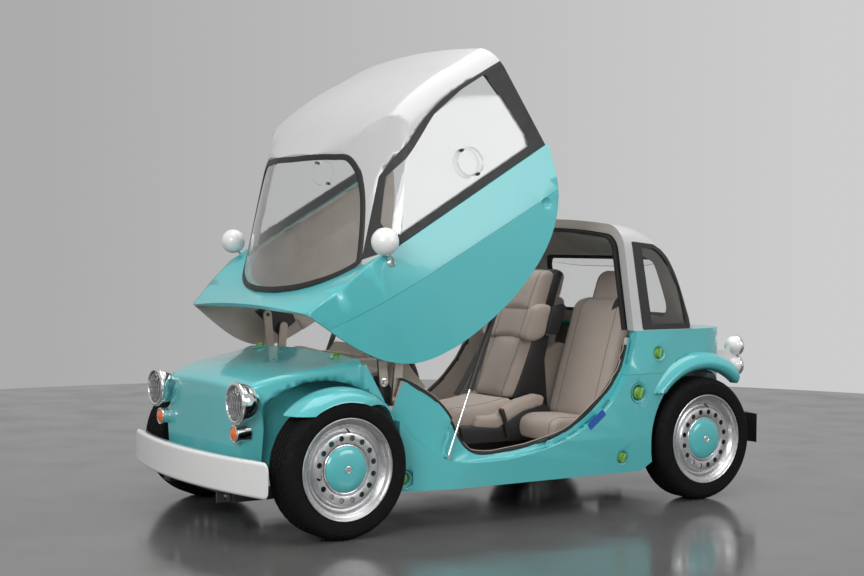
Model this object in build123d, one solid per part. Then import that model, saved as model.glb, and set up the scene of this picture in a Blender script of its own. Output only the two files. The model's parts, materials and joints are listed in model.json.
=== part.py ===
from build123d import *
import math
import os

os.makedirs("parts", exist_ok=True)

# Three-seat electric concept car with a one-piece canopy that swings up and forward.
# Millimetres. The front faces -Y, the car's left side is +X, and the floor is Z = 0.
# Y is measured here from the front axle, and keep() moves it to the car's middle.

# Overall
FRONT_END = -400.0
REAR_END = 2300.0
WHEELBASE = 1800.0
MIDDLE_Y = (FRONT_END + REAR_END) / 2

# Wheels
TYRE_RADIUS = 266.0
TYRE_WIDTH = 150.0
RIM_RADIUS = 190.0
RIM_WELL_RADIUS = 160.0
RIM_FACE_X = 650.0
AXLE_Z = 266.0
HUB_CAP_RADIUS = 88.0
HUB_CAP_HEIGHT = 20.0
HUB_BOSS_RADIUS = 14.0
RIM_HOLES = 16
RIM_HOLE_RADIUS = 11.0
RIM_HOLE_RING = 118.0
DISC_DEPTH = 22.0
KINGPIN_X = 580.0
KINGPIN_RADIUS = 15.0
WHEEL_WELL_RADIUS = 279.0

AXLE_TUBE_RADIUS = 34.0

RAIL_X = 300.0
RAIL_Z = 144.7
RAIL_HEIGHT = 40.0
RAIL_FRONT_Y = -310.0
RAIL_REAR_Y = 2070.0
TOW_EYE_RADIUS = 14.0
TOW_EYE_WALL = 12.0
EYE_ROOM = 18.0
BUMPER_STAY_X = 300.0

# Body walls and stations
WALL = 38.0
SKIN = 30.0
CANOPY_WALL = 15.0
PANE = 6.0
FRAME_BAND = 15.0
SCREEN_HALF = 487.0
GAP = 6.0
SILL_Z = 150.0
SIDE_X = 640.0
FLOOR_TOP = 205.0
BELT_Z = 745.0
SEAL_HEIGHT = 10.0
DASH_HALF = 434.0
TUB_GAP = 0.5
TUB_WALL = 20.0
CABIN_BASE_Z = 655.0
NOSE_Y = -290.0
NOSE_REAR_Y = 152.0
NOSE_BOTTOM_Z = 235.0
NOSE_ROUND = 22.0
LAMP_X = 375.0
LAMP_Z = 505.0
LAMP_RADIUS = 78.0
SIGNAL_X = 346.0
SIGNAL_Z = 387.0
TAIL_BALL = 44.0
ARCH_RADIUS = 315.0
ARCH_Y = 10.0
ARCH_FRONT_Y = -217.0
LINER_X = 330.0
LINER_WALL = 8.0
FENDER_RADIUS = 303.0
FENDER_LIP_RADIUS = 251.0
FENDER_WALL = 8.0
FENDER_X = 662.0
FENDER_INNER_X = 532.0
REAR_ARCH_RADIUS = 302.0
REAR_FLARE_RADIUS = 362.0
REAR_FLARE_X = 655.0
SHUT_Z = 561.0
KNOB_DEPTH = 14.0
TAIL_Y = 2040.0
SPLIT_Y = 1412.0
SPLIT_TOP_Y = 1392.0
REAR_RELIEF = 12.0
TOP_RELIEF = 6.0
RELIEF_Z = 452.0
ROOF_Z = 1223.0
FIREWALL_Y = NOSE_REAR_Y + WALL + TUB_GAP + TUB_WALL

# Canopy motion: closed shape turned by this much about this pole gives the open pose
OPEN_ANGLE = 27.71
POLE_Y = -364.0
POLE_Z = 196.0
ARM_X = 480.0
ARM_THICK = 12.0
ARM_GAP = 5.0
FRONT_PIVOT = (258.6, 567.5)
REAR_PIVOT = (304.5, 496.2)
FRONT_ARM_LEAN = 95.3
REAR_ARM_LEAN = 84.7
PIN_RADIUS = 8.0
PIN_CLEARANCE = 0.4
ARM_WIDTH = 38.0
ARM_POCKET_Y = 318.0

# Gas struts
BALL_Y = 483.0
BALL_Z = 273.0
STRUT_PIN_RADIUS = 5.0
STRUT_BARE = 280.0
STRUT_STROKE = 240.0
STRUT_TOP_Y = 730.0
STRUT_TOP_Z = 907.0
STRUT_X = 596.0
ROD_RADIUS = 5.0
CYLINDER_RADIUS = 12.0


def keep(name, shape):
    """Write one node, moved so that the car's middle is the origin."""
    export_step(Pos(0, -MIDDLE_Y, 0) * shape, "parts/" + name + ".step")


def both_sides(shape):
    """The left-hand piece and its mirror image on the right."""
    return Part() + shape + shape.mirror(Plane.YZ)


def left_half():
    return Pos(1000, 0, 0) * Box(2000, 4000, 4000)


def across(face, x0, x1):
    """Extrude a side-view face from x0 to x1."""
    return extrude(Pos(x0, 0, 0) * face, x1 - x0, dir=(1, 0, 0))


def rod_between(a, b, radius):
    """Round bar from point a to point b."""
    line = Vector(b) - Vector(a)
    return Plane(origin=a, z_dir=line) * Cylinder(
        radius, line.length, align=(Align.CENTER, Align.CENTER, Align.MIN))


def x_cylinder(radius, x0, x1, y, z):
    """Cylinder along X from x0 to x1."""
    low, high = min(x0, x1), max(x0, x1)
    return Pos((low + high) / 2, y, z) * Rot(0, 90, 0) * Cylinder(radius, high - low)


# ---------------------------------------------------------------- envelopes

def section(y, points, crown):
    """Closed XZ section at station y: half outline from the bottom up, mirrored, with a crowned top."""
    right = [(x, z) for x, z in points]
    left = [(-x, z) for x, z in reversed(points)]
    apex_x, apex_z = points[-1]
    edges = Polyline(*right) + ThreePointArc((apex_x, apex_z), (0, apex_z + crown), (-apex_x, apex_z))
    edges += Polyline(*left)
    edges += Line((-points[0][0], points[0][1]), (points[0][0], points[0][1]))
    return edges


def loft_sections(rows, radius, inset):
    """Loft closed sections along Y. Each row is (y, [(x, z), ...], crown)."""
    faces = []
    for y, points, crown in rows:
        shrunk = [(x - inset, z - (inset if k == len(points) - 1 else 0)) for k, (x, z) in enumerate(points)]
        edges = section(y, shrunk, crown)
        face = make_face(edges)
        corners = [v for v in face.vertices() if abs(v.Y - shrunk[-1][1]) < 0.01]
        face = fillet(corners, max(radius - inset, 5.0))
        faces.append(Plane(origin=(0, y, 0), x_dir=(1, 0, 0), z_dir=(0, -1, 0)) * face)
    return loft(faces)


def nose_solid(inset=0.0):
    """Bonnet and nose: a box that widens to the rear and rises to the cowl."""
    rows = [(NOSE_Y + inset, [(322, NOSE_BOTTOM_Z), (350, 400), (338, 552)], 10),
            (-200, [(372, NOSE_BOTTOM_Z), (396, 400), (384, 588)], 14),
            (-40, [(430, NOSE_BOTTOM_Z), (446, 400), (430, 621)], 16),
            (NOSE_REAR_Y, [(520, NOSE_BOTTOM_Z), (518, 400), (484, 656)], 18)]
    return loft_sections(rows, 28.0, inset)


def nose_front():
    """Nose solid with a rounded front edge and shallow lamp recesses."""
    solid = nose_solid()
    solid = fillet(solid.faces().sort_by(Axis.Y)[0].edges(), NOSE_ROUND)
    return solid - both_sides(Pos(LAMP_X, NOSE_Y, LAMP_Z) * Rot(90, 0, 0) * Cylinder(LAMP_RADIUS + 12, 40))


def cabin_solid(inset=0.0):
    """Upper car between belt and roof, before the windscreen and rear slopes are cut."""
    rows = []
    for y, top in ((150, 860), (600, 1075), (720, 1122), (830, 1166), (980, 1203), (1150, 1220),
                   (1400, ROOF_Z), (1520, 1206), (1620, 1160), (1720, 1075), (1900, 900)):
        crown = 36.0
        edge = top - crown
        lean = 77.0 * (edge - BELT_Z) / 440.0
        rows.append((y, [(620, 600), (622 - lean, edge)], crown))
    return loft_sections(rows, 120.0, inset)


def plan_front(inset=0.0):
    """Windscreen's plan curve, leaned back along its slope."""
    shift = inset * 1.32
    edges = ThreePointArc((-640, 606 + shift), (0, 270 + shift), (640, 606 + shift))
    edges += Polyline((640, 606 + shift), (900, 700), (900, 2300), (-900, 2300), (-900, 700),
                      (-640, 606 + shift))
    face = Pos(0, 0, 664) * make_face(edges)
    up = extrude(face, 900, dir=(0, 380, 439))
    down = extrude(face, 250, dir=(0, -380, -439))
    return up + down


def plan_rear(inset=0.0):
    """Rear slope: plan curves that move forward and round off towards the roof."""
    levels = [(600, [(0, 1866), (380, 1846), (594, 1790), (672, 1700)]),
              (775, [(0, 1840), (360, 1822), (570, 1768), (650, 1680)]),
              (931, [(0, 1802), (340, 1785), (540, 1731), (625, 1640)]),
              (1044, [(0, 1768), (320, 1751), (500, 1699), (600, 1600)]),
              (1118, [(0, 1736), (290, 1716), (450, 1670), (575, 1560)]),
              (1240, [(0, 1650), (250, 1632), (400, 1590), (540, 1470)])]
    faces = []
    for z, half in levels:
        pts = [(-x, y - inset) for x, y in reversed(half[1:])] + [(x, y - inset) for x, y in half]
        side_y = half[-1][1] - inset
        edges = Spline(*pts) + Polyline(pts[-1], (900, side_y), (900, 100), (-900, 100), (-900, side_y), pts[0])
        faces.append(Pos(0, 0, z) * make_face(edges))
    return loft(faces)


def greenhouse(inset=0.0):
    return cabin_solid(inset) & plan_front(inset) & plan_rear(inset)


def plan_outline(inset=0.0):
    """Body plan from the cowl to the tail."""
    side = SIDE_X - inset
    front = NOSE_REAR_Y + inset
    right = [(508 - inset, front), (530 - inset, front + 48), (561 - inset, 270 + inset),
             (596 - inset, 378), (627 - inset, 502), (side, 640)]
    edges = Spline(*right, tangents=[(0.35, 1), (0, 1)])
    edges += Line((side, 640), (side, 1420))
    corner = (470 - inset, 2010 - inset)
    edges += Spline((side, 1420), (608 - inset, 1700), (566 - inset, 1920), corner,
                    tangents=[(0, 1), (-1, 0.16)])
    edges += Line(corner, (200, TAIL_Y - 4 - inset))
    edges += Line((200, TAIL_Y - 4 - inset), (0, TAIL_Y - inset))
    half = edges
    other = half.mirror(Plane.YZ)
    close = Line((508 - inset, front), (inset - 508, front))
    return make_face(half + other + close)


def side_sections(inset=0.0):
    """Front view of the body sides: full at the sill, leaning in a little at the belt."""
    pts = [(SIDE_X - 22 - inset, SILL_Z - 100), (SIDE_X - inset, 300), (SIDE_X - inset, 560),
           (622 - inset, 745), (612 - inset, 840)]
    edges = Polyline(*pts) + Polyline(*[(-x, z) for x, z in pts])
    edges += Line(pts[0], (-pts[0][0], pts[0][1])) + Line(pts[-1], (-pts[-1][0], pts[-1][1]))
    face = Plane(origin=(0, -500, 0), x_dir=(1, 0, 0), z_dir=(0, -1, 0)) * make_face(edges)
    return extrude(face, 3200, dir=(0, 1, 0))


def body_block(z0, z1, inset=0.0):
    prism = Pos(0, 0, z0) * extrude(plan_outline(inset), z1 - z0)
    return prism & side_sections(inset)


LEDGE = [(160, 645), (225, 517), (324, 364), (439, 277), (605, 246), (830, 259), (977, 289),
         (1139, 352), (1281, 452), (1362, 572), (1400, 685), (SPLIT_Y, BELT_Z)]


SEAL = [(150, 606), (230, 598), (ARM_POCKET_Y, 572), (376, 538), (440, 491), (505, 409), (551, 327), (605, 280),
        (730, 268), (879, 283), (1012, 319), (1137, 377), (1243, 455), (1328, 544), (1377, 626),
        (1398, 693), (1405, 727)]


def moved_in(points, inset):
    """Side-view line moved into the opening by inset, square to the line."""
    moved = []
    for k, (y, z) in enumerate(points):
        y0, z0 = points[max(k - 1, 0)]
        y1, z1 = points[min(k + 1, len(points) - 1)]
        length = math.hypot(y1 - y0, z1 - z0)
        moved.append((y - inset * (z1 - z0) / length, z + inset * (y1 - y0) / length))
    return moved


def region_above(line, rear_top, top=1500.0):
    """Side-view face above a spline line and ahead of the point rear_top at roof height."""
    edges = Spline(*line) + Polyline(line[-1], (rear_top, ROOF_Z + 60), (rear_top, top),
                                     (line[0][0], top), line[0])
    return Plane.YZ * make_face(edges)


def relieved_ledge():
    """Ledge line of the fixed body, with room at the belt for the canopy's first rearward movement."""
    line = []
    for y, z in LEDGE:
        share = (z - RELIEF_Z) / (BELT_Z - RELIEF_Z) if y > MIDDLE_Y else 0.0
        line.append((y + REAR_RELIEF * max(0.0, share), z))
    return line


def hoop_band():
    """Side-view strip just behind the roof's front edge."""
    low, high = (SPLIT_Y + REAR_RELIEF + 3, BELT_Z), (SPLIT_TOP_Y + TOP_RELIEF + 3, ROOF_Z + 60)
    return Plane.YZ * make_face(Polyline(low, high, (high[0] + 24, high[1]), (low[0] + 24, low[1]), close=True))


def opening_slab():
    """What the canopy leaves open between the fixed body's edges."""
    return across(region_above(relieved_ledge(), SPLIT_TOP_Y + TOP_RELIEF), -900, 900)


def seal_slab(inset=0.0):
    """What lies above the rubber seal's line."""
    line = moved_in(SEAL, inset)
    return across(region_above(line, line[-1][0]), -900, 900)



# ---------------------------------------------------------------- body pieces

def wheel_space(y, radius, x0, x1=900.0):
    """Clear cylinder round a wheel on each side."""
    return both_sides(x_cylinder(radius, x0, x1, y, AXLE_Z))


def front_well(grow=0.0):
    """Room for the front wheels: a wide arch over the fender and a closer one behind the tyre."""
    arch = wheel_space(ARCH_Y, ARCH_RADIUS + grow, LINER_X)
    arch = arch & Pos(0, ARCH_Y, 430 + 300) * Box(2000, 2 * ARCH_RADIUS + 80, 600)
    upright = Pos(LINER_X + 250, 0, (AXLE_Z + 430) / 2) * Box(500, 2 * (WHEEL_WELL_RADIUS + grow), 430 - AXLE_Z)
    return arch + wheel_space(0, WHEEL_WELL_RADIUS + grow, LINER_X) + both_sides(upright)


def nose_body():
    """Bonnet, nose and cheeks in one moulding, with two brackets to the firewall."""
    shell = nose_front() - nose_solid(SKIN)
    shell -= Pos(0, 0, NOSE_BOTTOM_Z - 40) * Box(2000, 2000, 100)
    cut = wheel_space(ARCH_Y, ARCH_RADIUS, LINER_X) & Pos(0, ARCH_FRONT_Y + 1000, 500) * Box(3000, 2000, 2000)
    cut += both_sides(Pos(630, ARCH_FRONT_Y + 220, 330) * Box(600, 440, 290))
    cheeks = body_block(430, BELT_Z) - body_block(420, BELT_Z + 10, SKIN)
    cheeks = cheeks & side_region([(NOSE_REAR_Y, 430), (NOSE_REAR_Y, 640), (LEDGE[0][0], 640), (242, 460)])
    cheeks = cheeks - Pos(0, NOSE_REAR_Y, 500) * Box(2 * (508 - WALL), 2 * (WALL + 2), 600)
    bracket_y = FIREWALL_Y - TUB_WALL - 0.3
    bracket = side_region([(110, 545), (110, 645), (150, 645), (150, 590), (bracket_y, 590), (bracket_y, 545)])
    bracket = bracket & both_sides(Pos(270, 0, 600) * Box(36, 500, 200))
    return shell - cut + (cheeks - wheel_space(ARCH_Y, ARCH_RADIUS, LINER_X)) + bracket + wheel_liners()


def wheel_liners():
    """Liners between the front wheels and the nose."""
    shell = x_cylinder(ARCH_RADIUS + LINER_WALL / 2, LINER_X - LINER_WALL, 800, ARCH_Y, AXLE_Z)
    shell -= x_cylinder(ARCH_RADIUS - LINER_WALL / 2, LINER_X, 900, ARCH_Y, AXLE_Z)
    inside = nose_solid(SKIN - 1) - Pos(0, 0, NOSE_BOTTOM_Z - 40) * Box(2000, 2000, 100)
    return both_sides(shell & inside)


def side_region(points):
    """Slab across the whole car with this side-view outline."""
    return across(Plane.YZ * make_face(Polyline(*points, close=True)), -900, 900)


def sill_panels():
    block = body_block(SILL_Z, BELT_Z) - body_block(SILL_Z - 10, BELT_Z + 10, WALL)
    region = side_region([(244, 460), (244, SILL_Z), (1450, SILL_Z), (1700, 300),
                          (1700, SHUT_Z), (1300, SHUT_Z), (500, 645)])
    piece = block & region
    piece -= opening_slab()
    piece -= front_well() + wheel_space(WHEELBASE, REAR_ARCH_RADIUS, LINER_X)
    return piece - knob_recess(295, 198, 569, 35) - knob_recess(1424, 483, SIDE_X, 45) - knob_recess(1343, 214, 632, 33)


def knob_recess(y, z, face_x, radius):
    """Round recess for a finger knob on each side."""
    cone = Cone(radius - 8, radius + 10, 27)
    return both_sides(Pos(face_x - KNOB_DEPTH + 13.5, y, z) * Rot(0, 90, 0) * cone)


def rear_body():
    block = body_block(SHUT_Z - 260, BELT_Z) - body_block(SHUT_Z - 270, BELT_Z - SKIN, WALL)
    region = side_region([(1300, SHUT_Z + 1), (1700, SHUT_Z + 1), (1800, 301), (2300, 301),
                          (2300, 800), (1300, 800)])
    piece = block & region
    piece -= opening_slab()
    piece -= Pos(0, 1300, BELT_Z) * Box(1120, 960, 200)
    piece -= wheel_space(WHEELBASE, REAR_ARCH_RADIUS, 330)
    return piece - knob_recess(1540, 648, 631, 31)


def rear_fenders():
    """Round lips over the rear wheels."""
    outer = Spline((600, REAR_FLARE_RADIUS + 16), (632, REAR_FLARE_RADIUS), (REAR_FLARE_X, REAR_FLARE_RADIUS - 32))
    inner = Polyline(outer @ 1, (REAR_FLARE_X - 4, REAR_FLARE_RADIUS - 46), (636, REAR_ARCH_RADIUS), (600, REAR_ARCH_RADIUS),
                     outer @ 0)
    ring = Pos(0, WHEELBASE, AXLE_Z) * revolve(make_face(outer + inner), Axis.X)
    keep_part = side_region([(1512, 476), (1512, 700), (1996, 700), (1996, 500), (1800, 476)])
    ring = ring & keep_part
    ring -= body_block(0, 900)
    return both_sides(ring)


def fender():
    """Left cycle fender: a round-shouldered band over the tyre, on a stay from the knuckle."""
    crown = FENDER_RADIUS
    low = FENDER_LIP_RADIUS
    outer = Spline((FENDER_INNER_X, crown - 7), (572, crown), (625, crown - 9), (FENDER_X, low))
    inner = Spline((FENDER_X - FENDER_WALL, low), (619, crown - 17), (572, crown - FENDER_WALL),
                   (FENDER_INNER_X + 2, crown - 15))
    rim_edges = Line(outer @ 1, inner @ 0) + Line(inner @ 1, outer @ 0)
    band = Pos(0, 0, AXLE_Z) * revolve(make_face(outer + inner + rim_edges), Axis.X)
    band = band & side_region([(-260, 472), (0, 472), (0, 425), (300, 425), (300, 700), (-260, 700)])
    beyond = Spline((FENDER_X + 2, 10), (652, 103), (622, 172), (558, 256)) + Polyline(
        (558, 256), (558, 300), (800, 300), (800, 10), (FENDER_X + 2, 10))
    band -= extrude(make_face(beyond), 800)
    stay_x = RIM_FACE_X - TYRE_WIDTH - 16
    top = AXLE_Z + crown - 14
    stay = Pos((stay_x + KINGPIN_X - 13) / 2, 0, 198) * Box(KINGPIN_X - 13 - stay_x, 28, 12)
    stay += Pos(stay_x + 3, 0, (192 + top) / 2) * Box(6, 28, top - 192)
    stay += Pos((stay_x + FENDER_INNER_X + 6) / 2, 0, top - 3) * Box(FENDER_INNER_X + 6 - stay_x, 28, 6)
    return band + stay


def arm_pocket():
    """Open recess beside the firewall where the canopy's arms come out."""
    shape = side_region([(FIREWALL_Y, 443), (277, 443), (284, 470), (299, 520), (ARM_POCKET_Y, 572),
                         (ARM_POCKET_Y, 800), (FIREWALL_Y, 800)])
    shape = shape & both_sides(Pos(440 + 300, 300, 600) * Box(600, 600, 600))
    arm_side = ARM_X + ARM_GAP + ARM_THICK + 8
    slot = side_region([(FIREWALL_Y, 455), (345, 455), (345, 800), (FIREWALL_Y, 800)])
    return shape + (slot & both_sides(Pos((440 + arm_side) / 2, 300, 600) * Box(arm_side - 440, 600, 600)))


def inner_tub():
    """Floor, inner door-opening walls, firewall and wheel housings."""
    clear = WALL + TUB_GAP
    top = BELT_Z - SKIN - 1
    block = body_block(165, top, clear) - body_block(FLOOR_TOP, top + 50, clear + TUB_WALL)
    block -= Pos(0, 1790, 300) * Box(1400, 600, 280)
    block += body_block(420, 440, clear) & Pos(0, 1790, 430) * Box(1400, 600, 40)
    block += body_block(165, 440, clear) & Pos(0, 1480, 300) * Box(1400, 20, 300)
    block = block - strut_room() + strut_panel()
    block -= seal_slab()
    block -= Pos(0, 200, 695) * Box(1400, 160, 200)
    block -= arm_pocket()
    block -= front_well() + wheel_space(WHEELBASE, REAR_ARCH_RADIUS, 425)
    house = x_cylinder(REAR_ARCH_RADIUS + 8, 410, SIDE_X - clear, WHEELBASE, AXLE_Z)
    house -= x_cylinder(REAR_ARCH_RADIUS, 418, 800, WHEELBASE, AXLE_Z)
    house -= x_cylinder(AXLE_TUBE_RADIUS + GAP, 400, 800, WHEELBASE, AXLE_Z)
    house = house & body_block(165, BELT_Z - SKIN - 1, clear)
    front = front_well(LINER_WALL) & body_block(165, 590, clear)
    wall = Pos(LINER_X - LINER_WALL, 0, 0) * Box(2 * LINER_WALL, 900, 1400)
    front += both_sides(wall & (x_cylinder(WHEEL_WELL_RADIUS + LINER_WALL, 300, 400, 0, AXLE_Z)
                                & body_block(165, 590, clear)))
    front -= front_well()
    return block + both_sides(house) + front + strut_studs()


def rear_roof():
    shell = greenhouse() - greenhouse(WALL)
    shell = shell & Pos(0, 1700, BELT_Z + 300) * Box(1400, 1400, 600)
    shell -= opening_slab()
    return shell - quarter_window() - rear_window()


def rounded_window(points, radius):
    """Side-view opening with rounded corners on both sides of the car."""
    face = make_face(Polyline(*points, close=True))
    return across(Plane.YZ * fillet(face.vertices(), radius), -900, 900)


def quarter_window():
    return rounded_window([(1475, 747), (1448, 1124), (1580, 1112), (1622, 1090), (1663, 1036), (1712, 938),
                           (1735, 834), (1744, 747)], 9)


def quarter_sight():
    """Clear part of the quarter window inside its black frame."""
    return rounded_window([(1528, 768), (1500, 1100), (1574, 1093), (1608, 1070), (1648, 1018), (1694, 928),
                           (1715, 830), (1722, 768)], 10)


def rear_window(shrink=0.0):
    face = make_face(Polyline((-440, 790), (440, 790), (395, 1060), (-395, 1060), close=True))
    face = offset(fillet(face.vertices(), 60), -shrink) if shrink else fillet(face.vertices(), 60)
    return extrude(Plane(origin=(0, 1500, 0), x_dir=(1, 0, 0), z_dir=(0, -1, 0)) * face, -600)


def rear_windows():
    """Quarter panes and the rear pane."""
    pane = greenhouse(4) - greenhouse(4 + PANE)
    return (pane & quarter_sight()) + (pane & rear_window(FRAME_BAND))


def rear_frames():
    """Black frames of the quarter and rear windows, and the seal inside the roof's front edge."""
    band = greenhouse(-1) - greenhouse(16)
    frames = (band & (quarter_window() - quarter_sight())) + (band & (rear_window() - rear_window(FRAME_BAND)))
    slab = Pos(0, 0, BELT_Z + 400) * Box(1400, 4000, 800)
    lip = (greenhouse(WALL + 6) - greenhouse(WALL + 18)) & (Pos(0, -22, 0) * across(hoop_band(), -900, 900))
    foot = (greenhouse(WALL + 0.2) - greenhouse(WALL + 18)) & across(hoop_band(), -900, 900)
    return frames + ((lip + foot) & slab)


def door_seals():
    """Black rubber round the cabin opening."""
    ring = seal_slab() - seal_slab(SEAL_HEIGHT)
    block = body_block(FLOOR_TOP, BELT_Z - 60, WALL + TUB_GAP) - body_block(100, 900, WALL + 20)
    seal = ring & (block - strut_room() + strut_panel())
    return seal & Pos(0, ARM_POCKET_Y + 700, 445) * Box(3000, 1400, 490)


# ---------------------------------------------------------------- running gear

def tow_eye(x, y):
    """Upright eye plate in line with a rail."""
    plate = Pos(x, y, RAIL_Z) * Box(TOW_EYE_WALL, 2 * RAIL_HEIGHT, RAIL_HEIGHT)
    return plate - x_cylinder(TOW_EYE_RADIUS, x - 20, x + 20, y, RAIL_Z)


def frame_rails():
    """Ladder frame with a tow eye at one rail end front and rear."""
    length = RAIL_REAR_Y - RAIL_FRONT_Y
    frame = both_sides(Pos(RAIL_X, RAIL_FRONT_Y + length / 2, RAIL_Z) * Box(60, length, RAIL_HEIGHT))
    for y in (-240, 330, 1330, 1640, 2040):
        frame = frame + Pos(0, y, RAIL_Z) * Box(2 * RAIL_X - 59, 60, RAIL_HEIGHT - 4)
    front = tow_eye(RAIL_X, RAIL_FRONT_Y - EYE_ROOM) - Pos(RAIL_X, RAIL_FRONT_Y + 50, RAIL_Z) * Box(99, 100, 99)
    rear = tow_eye(-RAIL_X, RAIL_REAR_Y + EYE_ROOM) - Pos(-RAIL_X, RAIL_REAR_Y - 50, RAIL_Z) * Box(99, 100, 99)
    return frame + front + rear


def battery_block():
    return Pos(0, 830, 140) * Box(520, 860, 50)


def motor_block():
    return Pos(0, 1640, 163 + 90) * Box(360, 200, 180)


def front_suspension():
    arm = Polyline((280, -70), (280, 70), (600, 16), (600, -16), close=True)
    arm = extrude(Pos(0, 0, 165) * make_face(arm), 18.7)
    return both_sides(arm)


def hub_flange():
    """Flange that the wheel disc sits against."""
    face = RIM_FACE_X - DISC_DEPTH - 8 - 0.3
    return x_cylinder(50, face - 14, face, 0, AXLE_Z)


def knuckle():
    """Upright with the stub axle: its kingpin eye sits on the lower arm."""
    post = Pos(KINGPIN_X, 0, (184 + 330) / 2) * (Cylinder(KINGPIN_RADIUS, 330 - 184) + Box(22, 56, 90))
    stub = x_cylinder(20, KINGPIN_X, RIM_FACE_X - DISC_DEPTH - 8, 0, AXLE_Z)
    return post + stub + hub_flange()


def rear_axle():
    beam = x_cylinder(AXLE_TUBE_RADIUS, -480, 480, WHEELBASE, AXLE_Z)
    stubs = both_sides(x_cylinder(20, 479, RIM_FACE_X - DISC_DEPTH - 8, WHEELBASE, AXLE_Z))
    pads = both_sides(Pos(300, WHEELBASE, 199.5) * Box(80, 90, 69))
    return beam + stubs + pads + both_sides(Pos(0, WHEELBASE, 0) * hub_flange())


def wheel_profile(points):
    return make_face(Polyline(*points, close=True))


def tyre(y, side):
    """Tyre: rounded tread and sidewalls on the rim's beads."""
    inner = RIM_FACE_X - TYRE_WIDTH
    pts = [(inner + 10, RIM_RADIUS - 8), (inner - 2, 215), (inner + 12, 252), (inner + 30, TYRE_RADIUS),
           (RIM_FACE_X - 24, TYRE_RADIUS), (RIM_FACE_X - 4, 252), (RIM_FACE_X + 8, 215),
           (RIM_FACE_X - 3, RIM_RADIUS - 8)]
    face = make_face(Polyline(*pts, close=True))
    ring = revolve(face, Axis.X)
    ring = Pos(0, y, AXLE_Z) * ring
    return ring if side > 0 else ring.mirror(Plane.YZ)


def rim(y, side):
    inner = RIM_FACE_X - TYRE_WIDTH
    face_x = RIM_FACE_X - DISC_DEPTH
    pts = [(inner + 8, RIM_RADIUS - 8.5), (inner + 8, RIM_WELL_RADIUS), (face_x - 8, RIM_WELL_RADIUS - 6),
           (face_x - 8, 24), (face_x, 24), (face_x, HUB_CAP_RADIUS + 6), (face_x + 12, HUB_CAP_RADIUS + 14),
           (face_x + 12, 134), (face_x, 142), (face_x, 150), (RIM_FACE_X - 5, 168),
           (RIM_FACE_X - 3, RIM_RADIUS - 8.5)]
    ring = revolve(make_face(Polyline(*pts, close=True)), Axis.X)
    hole = x_cylinder(RIM_HOLE_RADIUS, 500, 700, RIM_HOLE_RING, 0)
    for k in range(RIM_HOLES):
        ring -= Rot(360 * k / RIM_HOLES, 0, 0) * hole
    well = Pos(0, 0, 0) * Rot(0, 90, 0) * Cylinder(RIM_WELL_RADIUS - 8, 200)
    ring -= Pos(face_x - 8 - 100, 0, 0) * well
    ring = Pos(0, y, AXLE_Z) * ring
    return ring if side > 0 else ring.mirror(Plane.YZ)


def hub_cap(y, side):
    face_x = RIM_FACE_X - DISC_DEPTH
    crown = face_x + HUB_CAP_HEIGHT
    edges = Line((face_x, 0), (face_x, HUB_CAP_RADIUS))
    edges += ThreePointArc((face_x, HUB_CAP_RADIUS), (crown - HUB_CAP_HEIGHT * 0.3, HUB_CAP_RADIUS * 0.6),
                           (crown, HUB_BOSS_RADIUS))
    edges += Polyline((crown, HUB_BOSS_RADIUS), (crown, 0), (face_x, 0))
    cap = revolve(make_face(edges), Axis.X)
    cap = Pos(0, y, AXLE_Z) * cap
    return cap if side > 0 else cap.mirror(Plane.YZ)


# ---------------------------------------------------------------- lamps and bumpers

def bowed_bar(y_mid, y_end, half, z0, z1, thick):
    outer = make_face(ThreePointArc((-half, y_end), (0, y_mid), (half, y_end)) + Line((half, y_end), (-half, y_end)))
    sign = 1 if y_mid < y_end else -1
    slab = extrude(Pos(0, 0, z0) * outer, z1 - z0)
    return slab - Pos(0, sign * thick, 0) * slab


def front_bumper():
    bar = bowed_bar(FRONT_END, -314, 622, 172, 308, 32)
    bar = bar & extrude(Plane.XZ * Pos(0, 240) * RectangleRounded(2 * 620, 136, 36), 900, both=True)
    bar = fillet(bar.faces().sort_by(Axis.Y)[0].edges(), 13)
    stays = both_sides(Pos(200, -332, 250) * Box(40, 83, 40))
    return bar + stays


def rear_bumper():
    bar = bowed_bar(REAR_END, 2200, 560, 215, 345, 26)
    start = RAIL_REAR_Y - 70
    end = REAR_END - 17
    foot_z = RAIL_Z + RAIL_HEIGHT / 2 + 0.3
    stay = Pos(BUMPER_STAY_X, (start + end) / 2, 240) * Box(40, end - start, 40)
    stay += Pos(BUMPER_STAY_X, start + 30, (foot_z + 230) / 2) * Box(40, 60, 230 - foot_z)
    return bar + both_sides(stay)


def headlamps():
    """Chrome headlamp bowls, and the cups of the turn signals below them."""
    bowl = revolve(make_face(Spline((0, 0), (30, 52), (100, 74)) + Polyline((100, 74), (100, 0), (0, 0))), Axis.X)
    lamp = Plane(origin=(LAMP_X, -224, LAMP_Z), x_dir=(0, -1, 0), z_dir=(1, 0, 0)) * bowl
    cup = Pos(SIGNAL_X, -290, SIGNAL_Z) * Rot(90, 0, 0) * Cylinder(32, 60)
    cup -= Pos(SIGNAL_X, -316, SIGNAL_Z) * Rot(90, 0, 0) * Cylinder(27, 10)
    return both_sides((lamp + cup) - nose_front())


def headlamp_rings():
    ring = Pos(LAMP_X, -330, LAMP_Z) * Rot(90, 0, 0) * (Cylinder(LAMP_RADIUS, 12) - Cylinder(66, 14))
    return both_sides(ring)


def headlamp_lenses():
    lens = Pos(LAMP_X, -329.9, LAMP_Z) * Rot(90, 0, 0) * Cylinder(65.8, 10)
    return both_sides(lens)


def turn_signals():
    """Amber lenses in their cups."""
    return both_sides(Pos(SIGNAL_X, -317, SIGNAL_Z) * Rot(90, 0, 0) * Cylinder(26.8, 12))


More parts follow.
